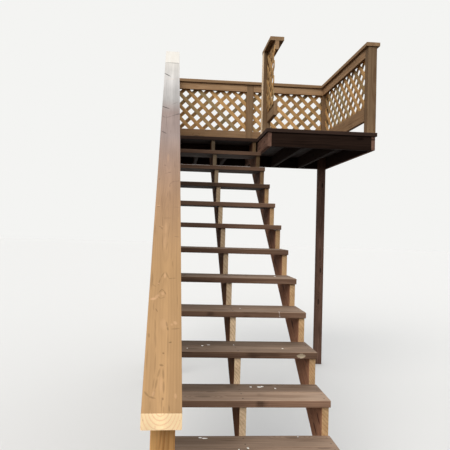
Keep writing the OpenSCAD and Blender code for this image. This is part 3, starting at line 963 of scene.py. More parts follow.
def paint_drops():
    """Thin uneven discs where drops of paint dried, and the run of one over an edge."""
    rng = random.Random(151)
    bm = bmesh.new()
    for x, y, number, wide, deep in DROPS:
        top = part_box(TREADS[number - 1])[1].z
        centre = bm.verts.new((x, y, top + 0.5 * MM))
        inner, outer = [], []
        for i in range(DROP_CORNERS):
            angle = 2 * math.pi * i / DROP_CORNERS
            r = DROP_SPREAD * (1 + rng.uniform(-DROP_RAGGED, DROP_RAGGED))
            across, ahead = r * wide * math.cos(angle), r * deep * math.sin(angle)
            inner.append(bm.verts.new((x + DROP_FLAT * across, y + DROP_FLAT * ahead, top + 0.4 * MM)))
            outer.append(bm.verts.new((x + across, y + ahead, top - 0.8 * MM)))
        for i in range(DROP_CORNERS):
            j = (i + 1) % DROP_CORNERS
            bm.faces.new((centre, inner[i], inner[j]))
            bm.faces.new((inner[i], outer[i], outer[j], inner[j]))
        bm.faces.new(outer[::-1])
    low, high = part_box(RUN_TREAD)
    for x, down, long in RUNS:
        centre = bm.verts.new((x, low.y - 0.5 * MM, high.z - down))
        ring = []
        for i in range(RUN_CORNERS):
            angle = 2 * math.pi * i / RUN_CORNERS
            ring.append(bm.verts.new((
                x + RUN_WIDE * math.cos(angle), low.y + 0.8 * MM, high.z - down + long * math.sin(angle))))
        for i in range(RUN_CORNERS):
            bm.faces.new((centre, ring[i], ring[(i + 1) % RUN_CORNERS]))
        bm.faces.new(ring[::-1])
    bmesh.ops.recalc_face_normals(bm, faces=bm.faces)
    return bm


class DECKSTAIR_OT_treads(bpy.types.Operator):
    """Treads of two stained boards each, screwed to the stringers"""

    bl_idname = "deckstair.treads"
    bl_label = "Treads"

    def execute(self, context):
        tints = context.scene.deck_stair_colours
        # Fir boards under a brown stain: feet wore the tops to a dull grey brown, the edges stay dark and red
        # The edge colours also carry painted shade on the fronts and undersides
        edge = (tints.edge_pale, tints.edge_dark)
        wood = timber("Stained fir, foot-worn", tints.tread_pale, tints.tread_dark, ring=8, stain=0.16,
                      contrast=0.8, edge=edge, end=edge, knot_share=0.16, knot_dark=0.45, bare=tints.broken)
        places = []
        for k, node in enumerate(TREADS):
            rng = random.Random(100 + k)
            parts = []
            for row, part in enumerate(islands(node)):
                low, high = corners(part)
                tone = tread_tone(k + 1, row, rng.uniform(*TREAD_SPREAD))
                more = torn_knot() if node == TORN_TREAD and row == 0 else {}
                parts.append(dress(part, axes_of(part), rng, (0.02, 0.014, 0.0127), tone=tone, bow=0.6 * MM,
                                   **more))
                for stringer in STRINGERS:
                    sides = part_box(stringer)
                    x = (sides[0].x + sides[1].x) / 2
                    for share in SCREW_SHARES:
                        across = x + rng.uniform(-STRAY, STRAY)
                        ahead = low.y + share * (high.y - low.y) + rng.uniform(-STRAY, STRAY)
                        places.append((Vector((across, ahead, high.z)), UP))
            finish_piece(f"{node}_boards", parts, [wood], [node])
        # Coated steel screws driven flush, gone as brown as the boards
        steel = coating("Coated deck screw", tints.screw,
                        roughness=0.55, metallic=0.6, speckle=0.25, grit=2.0)
        heads("tread_screws", places, steel, seed=150)
        # Paint that dried white, dull at its edges and only as thick as a drop
        paint = coating("Dried white paint", tints.paint, roughness=0.6, metallic=0.0, speckle=0.08, grit=3.0)
        finish_piece("paint_drops", [paint_drops()], [paint])
        return {"FINISHED"}


# How light the stringers' sawn steps are, from the lowest up: painted shade darkens the upper ones
STEP_SHADE_TONES = {
    "side": (1.0, 1.0, 1.0, 1.0, 1.02, 1.16, 1.12, 1.0, 0.84, 0.84, 0.77, 0.37, 0.22, 0.28, 0.2),
    "middle": (1.1, 1.1, 1.1, 1.1, 1.28, 1.30, 0.94, 0.87, 0.77, 0.82, 0.72, 0.50, 0.30, 0.22, 0.2),
}

# Painted light and shade on a stringer's sides: tone low down, heights over which it falls, share left
SIDE_LIGHT_AND_SHADE = {"side": (1.85, 1.0, 2.3, 0.26), "middle": (0.56, 1.2, 1.8, 0.47)}

# How far over the seat of a step the next step's tone begins
STEP_OVER = 0.018


def stringer_tone(kind):
    """Tone of a stringer's sawn steps and of its sides, with painted light and shade in both."""
    steps = STEP_SHADE_TONES[kind]
    full, start, end, least = SIDE_LIGHT_AND_SHADE[kind]
    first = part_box(TREADS[0])[0].z

    def tone(co, normal):
        if normal.y < -0.6 or normal.z > 0.6:
            return steps[min(len(steps) - 1, int((co.z - first - STEP_OVER) / STEP.z + 1))]
        return full * (1 - (1 - least) * smooth(co.z, start, end))

    return tone


class DECKSTAIR_OT_stringers(bpy.types.Operator):
    """Notched stringers with pale sawn steps"""

    bl_idname = "deckstair.stringers"
    bl_label = "Stringers"

    def execute(self, context):
        tints = context.scene.deck_stair_colours
        # Stain on the planed sides of the wide boards: reddish, streaked along the slope
        stained = timber("Stained fir stringer", tints.stringer_pale, tints.stringer_dark, ring=9,
                         stain=0.16, contrast=0.8, gloss=0.05)
        # The middle one stands in the treads' shade, painted as a darker, browner copy of the stain
        shaded = timber("Stained fir stringer, painted shade", tints.shaded_pale, tints.shaded_dark, ring=9,
                        stain=0.16, contrast=0.8, gloss=0.02)
        # The notches were sawn after staining: bare fir, pale, with the rings cut at a slant
        # (the rings are drawn about twice as wide as real ones, so that they show from a distance)
        sawn = timber("Bare fir, sawn across", tints.sawn_pale, tints.sawn_dark, ring=14, wander=0.09,
                      stain=0.16, wear=0.1, knot_share=0.0, checks=0.1)
        # Those of the middle one took more rain, which greyed them
        grey = timber("Weathered fir, sawn across", tints.middle_pale, tints.middle_dark, ring=17,
                      wander=0.09, stain=0.16, wear=0.1, knot_share=0.0, checks=0.15)
        axes = [CLIMB, Vector((0, -CLIMB.z, CLIMB.y)), Vector((1, 0, 0))]
        for k, node in enumerate(STRINGERS):
            middle = node == "stringer_middle"
            part = islands(node)[0]
            dress(part, axes, random.Random(200 + k), (0.06, 0.03, 0.05), bow=0.6 * MM, own=0.25 + 0.03 * k,
                  pith=-0.10, tone=stringer_tone("middle" if middle else "side"),
                  sawn=lambda f: f.normal.y < -0.7 or f.normal.z > 0.7)
            materials = [shaded, grey] if middle else [stained, sawn]
            finish_piece(f"{node}_board", [part], materials, [node])
        return {"FINISHED"}


# Places on the handrail's cap are in metres from its low end, and from its middle line to the right.
# Colours of the cap: gold low down, greyed and bleached higher up
CAP_COLOURS = (
    (0.0, "cap_gold"), (0.80, "cap_gold"), (1.35, "cap_tan"), (1.80, "cap_brown"), (2.20, "cap_rose"),
    (2.60, "cap_rose"), (2.88, "cap_grey"), (3.28, "cap_silver"), (3.85, "cap_white"),
)

# Tones across the cap
CAP_TONES = (
    (-0.070, 0.98), (-0.045, 0.95), (-0.030, 0.96), (-0.022, 0.99), (0.004, 1.01), (0.012, 0.96),
    (0.024, 0.93), (0.070, 0.93),
)

# The pith's way through the cap, which makes long flames: place, to the side, and up
CAP_PITH = (
    (0.0, -0.004, 0.032), (0.23, -0.005, 0.008), (0.50, -0.006, 0.016), (0.75, -0.004, -0.004),
    (1.10, -0.006, 0.016), (1.55, 0.004, -0.006), (1.95, -0.008, 0.010), (2.30, -0.004, 0.004),
    (3.00, 0.002, -0.010), (3.86, 0.0, 0.004),
)

# Knots, cracks and stains of the cap, as strokes: half width, strength and points
CAP_SCARS = (
    (0.015, 0.80, (3.853, -0.080), (3.846, 0.080)), (0.010, 0.80, (3.534, -0.076), (3.435, -0.010)),
    (0.009, 0.80, (2.732, -0.080), (2.675, -0.008)),
    (0.013, 0.40, (2.594, 0.072), (2.568, 0.036)),
    (0.009, 0.26, (2.570, 0.039), (2.535, 0.005), (2.499, -0.040), (2.539, -0.067)),
    (0.008, 0.22, (2.766, 0.001), (2.830, 0.059)), (0.009, 0.50, (2.266, -0.064), (2.222, -0.026)),
    (0.007, 0.29, (1.764, -0.030), (1.758, -0.022)), (0.007, 0.32, (1.669, -0.004), (1.677, 0.012)),
    (0.005, 0.16, (1.655, -0.025), (1.669, -0.004)), (0.005, 0.36, (1.596, -0.056), (1.581, -0.056)),
    (0.005, 0.24, (1.500, 0.007), (1.529, 0.007), (1.554, 0.016), (1.568, 0.034), (1.577, 0.066)),
    (0.00375, 0.14, (1.500, 0.007), (1.320, 0.011)), (0.005, 0.29, (1.289, -0.060), (1.292, -0.044)),
    (0.005, 0.16, (1.291, 0.027), (1.291, 0.066)), (0.014, 0.10, (1.183, -0.014), (1.184, 0.012)),
    (0.00375, 0.32, (1.107, -0.044), (1.101, -0.034), (1.080, -0.023)),
    (0.005, 0.23, (1.025, 0.036), (1.020, 0.061)),
    (0.00375, 0.14, (1.442, -0.039), (1.210, -0.029), (1.075, -0.022), (0.882, -0.021)),
    (0.00375, 0.16, (1.157, 0.012), (0.985, 0.005), (0.905, -0.003)),
    (0.00375, 0.24, (0.753, -0.007), (0.711, -0.023), (0.660, -0.034)),
    (0.005, 0.26, (0.753, 0.000), (0.709, 0.013)),
    (0.00375, 0.30, (0.707, 0.013), (0.712, 0.030), (0.713, 0.044)),
    (0.005, 0.17, (0.675, -0.063), (0.653, -0.041)),
    (0.00375, 0.30, (0.617, -0.028), (0.639, -0.016), (0.629, -0.006), (0.606, 0.004)),
    (0.00375, 0.19, (0.597, -0.031), (0.581, -0.021), (0.591, -0.001)),
    (0.00375, 0.30, (0.523, -0.039), (0.502, -0.029)), (0.00375, 0.13, (0.560, -0.049), (0.508, -0.047)),
    (0.00375, 0.19, (0.469, -0.039), (0.391, -0.034), (0.305, -0.029), (0.183, -0.030), (0.129, -0.034)),
    (0.005, 0.35, (0.451, 0.007), (0.421, 0.012), (0.405, 0.015)),
    (0.00375, 0.12, (0.405, 0.015), (0.258, 0.017), (0.149, 0.018)),
    (0.005, 0.22, (0.411, 0.028), (0.415, 0.063)), (0.006, 0.22, (0.386, -0.061), (0.368, -0.058)),
    (0.005, 0.40, (0.342, 0.022), (0.344, 0.028)), (0.005, 0.40, (0.291, -0.001), (0.289, 0.000)),
    (0.006, 0.36, (0.236, -0.010), (0.234, -0.002)),
    (0.005, 0.23, (0.222, -0.011), (0.179, -0.019), (0.129, -0.026), (0.103, -0.031)),
    (0.005, 0.26, (0.222, 0.000), (0.170, 0.003), (0.113, 0.005)),
    (0.005, 0.36, (0.096, 0.002), (0.091, 0.002)),
    (0.005, 0.27, (0.123, -0.063), (0.103, -0.047), (0.095, -0.023)),
    (0.00375, 0.26, (0.070, 0.024), (0.043, 0.026)), (0.00375, 0.16, (0.066, 0.006), (0.039, 0.006)),
    (0.00375, 0.14, (0.089, -0.040), (0.043, -0.039)),
)

# Bright worn places of the cap, in the same form
CAP_GLEAMS = (
    (0.0096, 0.19, (3.361, -0.072), (3.384, 0.066)), (0.0096, 0.17, (1.929, -0.008), (1.792, -0.009)),
    (0.006, 0.42, (1.301, -0.058), (1.303, -0.045)), (0.0048, 0.36, (1.108, -0.026), (1.106, -0.024)),
    (0.0108, 0.19, (1.147, -0.008), (1.033, -0.008), (0.920, -0.011)),
    (0.006, 0.48, (0.742, -0.004), (0.712, -0.004)),
    (0.0048, 0.42, (0.677, -0.031), (0.675, -0.031)), (0.0096, 0.60, (0.577, -0.058), (0.581, -0.042)),
    (0.0096, 0.36, (0.581, -0.042), (0.602, -0.031)), (0.0096, 0.31, (0.616, -0.013), (0.608, -0.010)),
    (0.0192, 0.19, (0.455, -0.004), (0.415, -0.001)), (0.0096, 0.42, (0.448, 0.042), (0.440, 0.046)),
    (0.006, 0.31, (0.438, 0.029), (0.432, 0.030)), (0.0084, 0.22, (0.190, -0.008), (0.117, -0.005)),
    (0.006, 0.41, (0.123, -0.029), (0.105, -0.033)), (0.006, 0.31, (0.113, 0.046), (0.097, 0.047)),
)


# Painted light on the cap's low end face: its tone beside that of the rest
CAP_END_LIGHT = 1.26

# Screws and bolts of the rail posts, in metres: to both sides of the newel's middle and up from the ground,
# from the middle post's front and up from its foot, and up from the top post's foot
NEWEL_SCREWS = ((-0.018, 0.018), (0.26, 0.31))
NEWEL_BOLTS = (0.07, 0.17)
MIDDLE_SCREWS = ((0.025, 0.064), 0.03)
TOP_BOLTS = (0.06, 0.17)


def rail_direction():
    """The way the handrail runs, from the middle of its low end to the middle of its high end."""
    co = np.array([v.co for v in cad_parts["handrail_cap"].data.vertices])
    end = 50 * MM
    low, high = co[co[:, 1] < co[:, 1].min() + end], co[co[:, 1] > co[:, 1].max() - end]
    way = (high.min(0) + high.max(0)) / 2 - (low.min(0) + low.max(0)) / 2
    flat = math.hypot(way[0], way[1])
    return Vector((way[0], way[1], flat * STEP.z / STEP.y)).normalized()


def cap_wood(tints, way):
    """A flat-sawn fir board from near the heart, with the colours, flames and marks of the real one."""
    reach = [v.co.dot(way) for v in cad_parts["handrail_cap"].data.vertices]
    half = (max(reach) - min(reach)) / 2
    scars, gleams = (
        [(width, strong, *((x - half, y) for x, y in points)) for width, strong, *points in strokes]
        for strokes in (CAP_SCARS, CAP_GLEAMS))
    return timber("Weathered fir cap board", tints.cap_gold, tints.cap_tan, ring=11.5, wander=0.03,
                  contrast=0.34, streaks=0.95, stain=0.09, fibre=0.05, wear=0.1, knot_share=0.0, checks=0.25,
                  end=(tints.end_pale, tints.end_dark), across=CAP_TONES, scars=scars, gleams=gleams,
                  along=[(x - half, getattr(tints, name)) for x, name in CAP_COLOURS],
                  stem=[(x - half, side, up) for x, side, up in CAP_PITH])


class DECKSTAIR_OT_handrail(bpy.types.Operator):
    """Handrail cap, its short top piece, the rail under it and the rail posts"""

    bl_idname = "deckstair.handrail"
    bl_label = "Handrail"

    def execute(self, context):
        tints = context.scene.deck_stair_colours
        way = rail_direction()
        # The low end was cut last and is pale, and painted light brightens its face
        boards("handrail_cap_board", ["handrail_cap"], [cap_wood(tints, way)], "handrail",
               spacing=(0.03, 0.010, 0.05), along=way, tones=(1.0, 1.0), seed=301,
               tone=lambda co, normal: CAP_END_LIGHT if normal.dot(way) < -0.6 else 1.0)
        # Unstained whitewood, nearly without figure
        new = timber("New whitewood", tints.new_pale, tints.new_dark, ring=6, stain=0.02, fibre=0.04,
                     wear=0.0, contrast=0.25, streaks=0.5, knot_share=0.0, checks=0.1)
        boards("handrail_cap_top_board", ["handrail_cap_piece"], [new], "new_board",
               spacing=(0.03, 0.015, 0.05), along=way, tones=(0.87, 0.87), seed=302)
        # Posts and rail of clear fir under a thin warm stain: dark flame figure on gold
        warm = timber("Warm stained fir", tints.post_pale, tints.post_dark, ring=10, wander=0.13, stain=0.12,
                      contrast=0.95, streaks=1.15, end=(tints.post_pale, tints.post_dark))
        boards("handrail_stiffener_boards", ["handrail_stiffener"], [warm], "rail_posts",
               spacing=(0.06, 0.02, 0.03), along=way, seed=303)
        for k, node in enumerate(("newel_post", "middle_rail_post", "top_rail_post")):
            boards(f"{node}_timber", [node], [warm], "rail_posts", spacing=(0.05, 0.02, 0.02), seed=310 + k)
        self.fasten(tints)
        return {"FINISHED"}

    def fasten(self, tints):
        """Coated screws hold the rail to the posts, and bolts the posts to the stringer."""
        low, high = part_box("newel_post")
        middle = (low.x + high.x) / 2
        sides, heights = NEWEL_SCREWS
        screws = [(Vector((middle + d, low.y, z)), (0, -1, 0)) for d in sides for z in heights]
        bolts = [(Vector((middle, low.y, z)), (0, -1, 0)) for z in NEWEL_BOLTS]
        low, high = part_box("middle_rail_post")
        behind, rise = MIDDLE_SCREWS
        for x, normal in ((low.x, (-1, 0, 0)), (high.x, (1, 0, 0))):
            screws += [(Vector((x, low.y + d, low.z + rise)), normal) for d in behind]
        low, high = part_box("top_rail_post")
        middle = (low.y + high.y) / 2
        bolts = [(Vector((low.x, middle, low.z + rise)), (-1, 0, 0)) for rise in TOP_BOLTS] + bolts
        # Brown coated heads, and dull zinc with a slight sheen
        steel = coating("Coated rail screw", tints.screw, roughness=0.5, metallic=0.6, speckle=0.25, grit=2.0)
        zinc = coating("Zinc-plated bolt", tints.zinc, roughness=0.42, metallic=0.9, speckle=0.2, grit=4.0)
        heads("rail_post_screws", screws, steel, seed=320)
        heads("rail_post_bolts", bolts, zinc, seed=321, kind="bolt")


DECK_LOW, DECK_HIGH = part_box("deck_boards_landing")
DECK_MIDDLE = (DECK_LOW + DECK_HIGH) / 2

# Tones of the framing: boards that the deck shades, and those that daylight reaches
SHADED, LIT = 0.17, 1.35
FRAMING = {
    "deck_joists": SHADED, "rim_far": LIT, "rim_left": LIT, "rim_right": LIT, "rim_side": LIT,
    "rim_stair_head": SHADED, "ledger": SHADED, "support_posts": LIT,
}

# Rows of screws in a deck board, as shares of its width, and the row in one that is narrower than NARROW
DECKING_ROWS = (0.25, 0.76)
NARROW_ROWS = (0.5,)
NARROW = 0.1

# How high screws sit in the far rim and in the side rims, and how far from the ends of those, in metres
FAR_RIM_SCREWS = (0.03, 0.07, 0.11)
SIDE_RIM_SCREWS = (0.035, 0.105)
RIM_END = 0.05

# The ledger's bolts: how far from its ends and from its edges, and how far right of its middle, in metres
LEDGER_END, LEDGER_EDGE, LEDGER_OFF = 0.1, 0.04, 0.05


def decking_tone(co, normal):
    """Tone of a deck board: worn on top, dark at its edges, and darkest below by painted shade."""
    if normal.z < -0.7:
        return 0.09
    return 0.85 if normal.z > 0.6 else 0.28


def joist_tone(co, normal):
    """Tone of a joist, with painted shade on its underside."""
    return 0.45 if normal.z < -0.7 else 1.0


def rim_tone(co, normal):
    """Tone of a rim board, with painted shade on the side that looks to the middle of the deck."""
    inside = abs(normal.z) < 0.5 and (DECK_MIDDLE - co).dot(normal) > 0
    return 0.15 if inside else 1.0


def decking_screws():
    """Places of the screws in the deck boards over each carrier, and in the rims' faces."""
    rng = random.Random(450)
    places = []
    carriers = [corners(part) for node in ("deck_joists", "rim_left", "rim_right", "rim_side")
                for part in islands(node)]
    for node in ("deck_boards_landing", "deck_boards_side"):
        for part in islands(node):
            low, high = corners(part)
            rows = DECKING_ROWS if high.y - low.y > NARROW else NARROW_ROWS
            for start, end in carriers:
                x = (start.x + end.x) / 2
                # Boards reach past their carriers, by 20 mm in front and by 80 mm behind at most
                if low.x < x < high.x and start.y - 0.02 < low.y and end.y + 0.02 > high.y - 0.06:
                    for share in rows:
                        across = x + rng.uniform(-STRAY, STRAY)
                        places.append((Vector((across, low.y + share * (high.y - low.y), high.z)), UP))
    # Three screws through the far rim into the end of every joist
    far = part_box("rim_far")[1].y
    for part in islands("deck_joists"):
        low, high = corners(part)
        middle = (low.x + high.x) / 2
        places += [(Vector((middle, far, low.z + d)), (0, 1, 0)) for d in FAR_RIM_SCREWS]
    for node, side, normal in (("rim_left", 0, (-1, 0, 0)), ("rim_right", 1, (1, 0, 0))):
        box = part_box(node)
        x, low, high = box[side].x, box[0], box[1]
        places += [(Vector((x, y, low.z + d)), normal)
                   for y in (low.y + RIM_END, high.y - RIM_END) for d in SIDE_RIM_SCREWS]
    return places


class DECKSTAIR_OT_deck(bpy.types.Operator):
    """Deck boards and the frame and posts under them"""

    bl_idname = "deckstair.deck"
    bl_label = "Deck"

    def execute(self, context):
        tints = context.scene.deck_stair_colours
        # The deck is stained like the treads, less walked on, and dark at its edges
        frame_tints = (tints.frame_pale, tints.frame_dark)
        top = timber("Stained fir decking", tints.tread_pale, tints.tread_dark, ring=8, wear=0.2, stain=0.16,
                     edge=frame_tints, end=frame_tints, knot_share=0.15, knot_dark=0.5)
        for k, node in enumerate(("deck_boards_landing", "deck_boards_side")):
            boards(f"{node}_wood", [node], [top], "treads", spacing=(0.10, 0.03, 0.05), seed=401 + k,
                   tone=decking_tone)
        # Dark brown stained fir framing, with painted shade under the deck and painted light outside
        under = timber("Dark stained fir framing", *frame_tints, ring=8, stain=0.2, wear=0.15, gloss=0.02)
        tones = {"deck_joists": joist_tone, "rim_far": rim_tone, "rim_left": rim_tone, "rim_right": rim_tone}
        for k, (node, level) in enumerate(FRAMING.items()):
            boards(f"{node}_wood", [node], [under], "framing", spacing=(0.09, 0.035, 0.05), seed=410 + k,
                   tones=(0.94 * level, 1.06 * level), tone=tones.get(node))
        # Brown coated heads, flush with the boards
        steel = coating("Coated decking screw", tints.screw,
                        roughness=0.55, metallic=0.6, speckle=0.25, grit=2.0)
        heads("decking_screws", decking_screws(), steel, seed=451)
        # The ledger hangs on dull zinc bolts in pairs
        zinc = coating("Zinc-plated ledger bolt", tints.zinc,
                       roughness=0.45, metallic=0.9, speckle=0.2, grit=4.0)
        low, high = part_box("ledger")
        places = [(Vector((x, high.y, z)), (0, 1, 0))
                  for x in (low.x + LEDGER_END, (low.x + high.x) / 2 + LEDGER_OFF, high.x - LEDGER_END)
                  for z in (low.z + LEDGER_EDGE, high.z - LEDGER_EDGE)]
        heads("ledger_bolts", places, zinc, seed=452, kind="bolt")
        return {"FINISHED"}


GUARD_CAPS = ("guard_cap_far", "guard_cap_left", "guard_cap_right", "guard_cap_side")

# The far rails, from the front of the lower one to the top of the upper one
RAILS_LOW, RAILS_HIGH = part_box("guard_rails_far")

# Side rails that start left of this have the deck at their right
LEFT_RAILS = DECK_MIDDLE.x + 0.1

# Left side of the two posts that the far lattices meet at, of which the tall one stands beside the stair head
TALL_POST_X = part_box("lattice_far_left")[1].x

# The posts' feet are a little lighter, up to this far over the deck
FOOT_RISE = 0.2

# Screws of the guard, in metres: from the end and the edges of a rail, then of the pairs in a cap the way
# between two pairs, from the cap's end and to both sides, then to both sides and up in the posts' feet
RAIL_SCREW_END, RAIL_SCREW_EDGE = 0.018, 0.022
CAP_SCREW_WAY, CAP_SCREW_END, CAP_SCREW_SIDE = 0.4, 0.045, 0.02
FOOT_SCREW_SIDE, FOOT_SCREW_UP = 0.022, 0.03


def rail_tone(co, normal):
    """Tone of the guard's rails and caps: painted shade on undersides, and the top rails are the lightest."""
    if normal.z < -0.7:
        return 0.45
    if co.z > RAILS_HIGH.z - 8 * MM:
        return 0.80
    return 1.09 if co.z > (RAILS_LOW.z + RAILS_HIGH.z) / 2 else 0.82


def is_far(co):
    """Whether a place on a post belongs to the far guard."""
    return co.y > RAILS_LOW.y - 10 * MM


def bleached(co, normal):
    """Whether a place is on the tall post's left face beside the stair head, which gets painted light."""
    return normal.x < -0.7 and abs(co.x - TALL_POST_X) < 10 * MM and not is_far(co)


def post_tone(co, normal):
    """Tone of the guard's posts, with painted light on the tall post's left face."""
    # The tall post's left face gets painted light
    if bleached(co, normal):
        return 1.6
    if is_far(co):
        return 0.60
    return 0.64 - 0.14 * smooth(co.z, DECK_HIGH.z, DECK_HIGH.z + FOOT_RISE)


def rail_screws():
    """Places of two screws through each end of every rail, on the side that faces the deck."""
    places = []
    for node in ("guard_rails_far", "guard_rails_sides"):
        for part in islands(node):
            low, high = corners(part)
            run = 0 if high.x - low.x > high.y - low.y else 1
            rightward = node == "guard_rails_sides" and low.x < LEFT_RAILS
            for end in (low[run] + RAIL_SCREW_END, high[run] - RAIL_SCREW_END):
                for z in (low.z + RAIL_SCREW_EDGE, high.z - RAIL_SCREW_EDGE):
                    at, normal = Vector(), Vector()
                    at[run], at.z, at[1 - run] = end, z, high[1 - run] if rightward else low[1 - run]
                    normal[1 - run] = 1.0 if rightward else -1.0
                    places.append((at, normal))
    return places


def cap_screws():
    """Places of the pairs of screws along every cap, evenly spread."""
    places = []
    for node in GUARD_CAPS:
        low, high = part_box(node)
        run = 0 if high.x - low.x > high.y - low.y else 1
        count = max(1, round((high[run] - low[run]) / CAP_SCREW_WAY))
        for i in range(count + 1):
            for d in (-CAP_SCREW_SIDE, CAP_SCREW_SIDE):
                at = (low + high) / 2
                at[run] = low[run] + CAP_SCREW_END + (high[run] - low[run] - 2 * CAP_SCREW_END) * i / count
                at[1 - run] += d
                at.z = high.z
                places.append((at, UP))
    return places


class DECKSTAIR_OT_guard(bpy.types.Operator):
    """Posts, rails and caps of the guard"""

    bl_idname = "deckstair.guard"
    bl_label = "Guard"

    def execute(self, context):
        tints = context.scene.deck_stair_colours
        # Cedar-coloured stain over fir that stays in the shade: even, slightly green-brown
        wood = timber("Stained fir guard", tints.guard_pale, tints.guard_dark, ring=7, stain=0.12,
                      contrast=0.8, knot_share=0.15, knot_dark=0.5)
        for k, node in enumerate(("guard_rails_far", "guard_rails_sides", *GUARD_CAPS)):
            boards(f"{node}_wood", [node], [wood], "guard", spacing=(0.06, 0.025, 0.05), seed=502 + k,
                   tone=rail_tone)
        # Painted light on the tall post beside the stair head, on the side that the sun reaches
        pale = timber("Fir post face in painted light", tints.post_light_pale, tints.post_light_dark, ring=8, stain=0.1,
                      contrast=0.7, knot_share=0.0)
        boards("guard_posts_wood", ["guard_posts"], [wood, pale], "guard", spacing=(0.06, 0.025, 0.05),
               seed=501, tone=post_tone, sawn=lambda f: bleached(f.calc_center_median(), f.normal))
        # Brown coated heads in the rails' ends, the posts' feet and the caps
        steel = coating("Coated guard screw", tints.screw,
                        roughness=0.5, metallic=0.6, speckle=0.25, grit=2.0)
        places = rail_screws()
        for part in islands("guard_posts"):
            low, high = corners(part)
            middle = (low.x + high.x) / 2
            places += [(Vector((middle + d, low.y, low.z + FOOT_SCREW_UP)), (0, -1, 0))
                       for d in (-FOOT_SCREW_SIDE, FOOT_SCREW_SIDE)]
        heads("guard_screws", places + cap_screws(), steel, seed=520)
        return {"FINISHED"}


def clip(outline, width, height):
    """The part of a convex outline that lies inside a panel, from 0 to width and 0 to height."""
    for axis, limit, keep in ((0, 0.0, 1), (0, width, -1), (1, 0.0, 1), (1, height, -1)):
        kept = []
        for a, b in zip(outline, outline[1:] + outline[:1]):
            a_inside, b_inside = (keep * (point[axis] - limit) >= 0 for point in (a, b))
            if a_inside:
                kept.append(a)
            if a_inside != b_inside:
                t = (limit - a[axis]) / (b[axis] - a[axis])
                kept.append((a[0] + t * (b[0] - a[0]), a[1] + t * (b[1] - a[1])))
        outline = kept
        if not outline:
            return []
    return outline


# A staple in millimetres: the points of its section, each a place across the wire, a depth into the slats and
# the share of the length that the staple has there, and half its length
STAPLE = ((-0.7, 1.0, 1.0), (-0.7, -0.4, 1.0), (0.0, -0.8, 0.93), (0.7, -0.4, 1.0), (0.7, 1.0, 1.0))
STAPLE_HALF = 5.5

# How far it turns off the level at most, in radians, and how far from a panel's rim a crossing has to be to
# get one, in metres
STAPLE_TURN = 0.5
STAPLE_MARGIN = 0.02

# Slats lean both ways, the front layer to one side and the rear layer to the other
LEANS = (math.radians(45), math.radians(-45))

# Tone of the front layer and of the rear one, how far slats differ from it, and the share that has gone grey
# The rear layer's lower tone is painted shade
LAYER_TONES = (1.04, 0.72)
SLAT_TONES = (0.82, 1.15)
GREY_SHARE = 0.28


def panel_frame(node):
    """A lattice panel: where it starts, how it runs, which way its rear layer lies, and its size."""
    low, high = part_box(node)
    if node in ("lattice_far_left", "lattice_far_right"):
        start, run, out = low, Vector((1, 0, 0)), Vector((0, 1, 0))
    elif node == "lattice_right":
        start, run, out = Vector((low.x, high.y, low.z)), Vector((0, -1, 0)), Vector((1, 0, 0))
    else:
        start, run, out = Vector((high.x, low.y, low.z)), Vector((0, 1, 0)), Vector((-1, 0, 0))
    sizes = bpy.context.scene.deck_stair_sizes
    width, height = abs((high - low).dot(run)), high.z - low.z
    return SimpleNamespace(start=start, run=run, out=out, width=width, height=height,
                           mid=(width / 2 + sizes.crossing_side, height / 2 + sizes.crossing_up),
                           pitch=sizes.slat_width + sizes.slat_opening)


def slat_solid(panel, outline, near, far):
    """A slat: its outline in the panel, from one depth to another."""
    part = bmesh.new()
    rings = [[part.verts.new(panel.start + panel.run * x + UP * y + panel.out * depth) for x, y in outline]
             for depth in (near, far)]
    part.faces.new(rings[0])
    part.faces.new(rings[1])
    for j in range(len(outline)):
        m = (j + 1) % len(outline)
        part.faces.new((rings[0][j], rings[0][m], rings[1][m], rings[1][j]))
    bmesh.ops.recalc_face_normals(part, faces=part.faces)
    return part


def slats(panel, rng):
    """Dressed slats of both layers of a panel, cut off where it ends."""
    sizes = bpy.context.scene.deck_stair_sizes
    # A corner piece has to be as wide as it is thick, and to cross the first slat of the other layer
    shortest = max(sizes.slat_thickness, (sizes.slat_opening - sizes.slat_width) / 2 + sizes.slat_thickness)
    long = panel.width + panel.height
    parts = []
    for layer, lean in enumerate(LEANS):
        cos, sin = math.cos(lean), math.sin(lean)
        reach = [(x - panel.mid[0]) * cos + (y - panel.mid[1]) * sin
                 for x in (0, panel.width) for y in (0, panel.height)]
        first = math.ceil((min(reach) + shortest) / panel.pitch)
        last = math.floor((max(reach) - shortest) / panel.pitch)
        near = layer * (sizes.slat_thickness - sizes.slat_let_in)
        way = (UP * cos - panel.run * sin).normalized()
        for i in range(first, last + 1):
            left, right = i * panel.pitch - sizes.slat_width / 2, i * panel.pitch + sizes.slat_width / 2
            outline = [(panel.mid[0] + x * cos - y * sin, panel.mid[1] + x * sin + y * cos)
                       for x, y in ((left, -long), (right, -long), (right, long), (left, long))]
            outline = clip(outline, panel.width, panel.height)
            if len(outline) < 3:
                continue
            part = slat_solid(panel, outline, near, near + sizes.slat_thickness)
            is_grey = rng.random() < GREY_SHARE
            # LAYER_TONES give the rear layer painted shade
            tone = rng.uniform(*SLAT_TONES) * LAYER_TONES[layer]
            parts.append(dress(part, [way, way.cross(panel.out), panel.out], rng, (0.12, 0.05, 0.05),
                               tone=tone, sawn=(lambda f: True) if is_grey else None))
    return parts


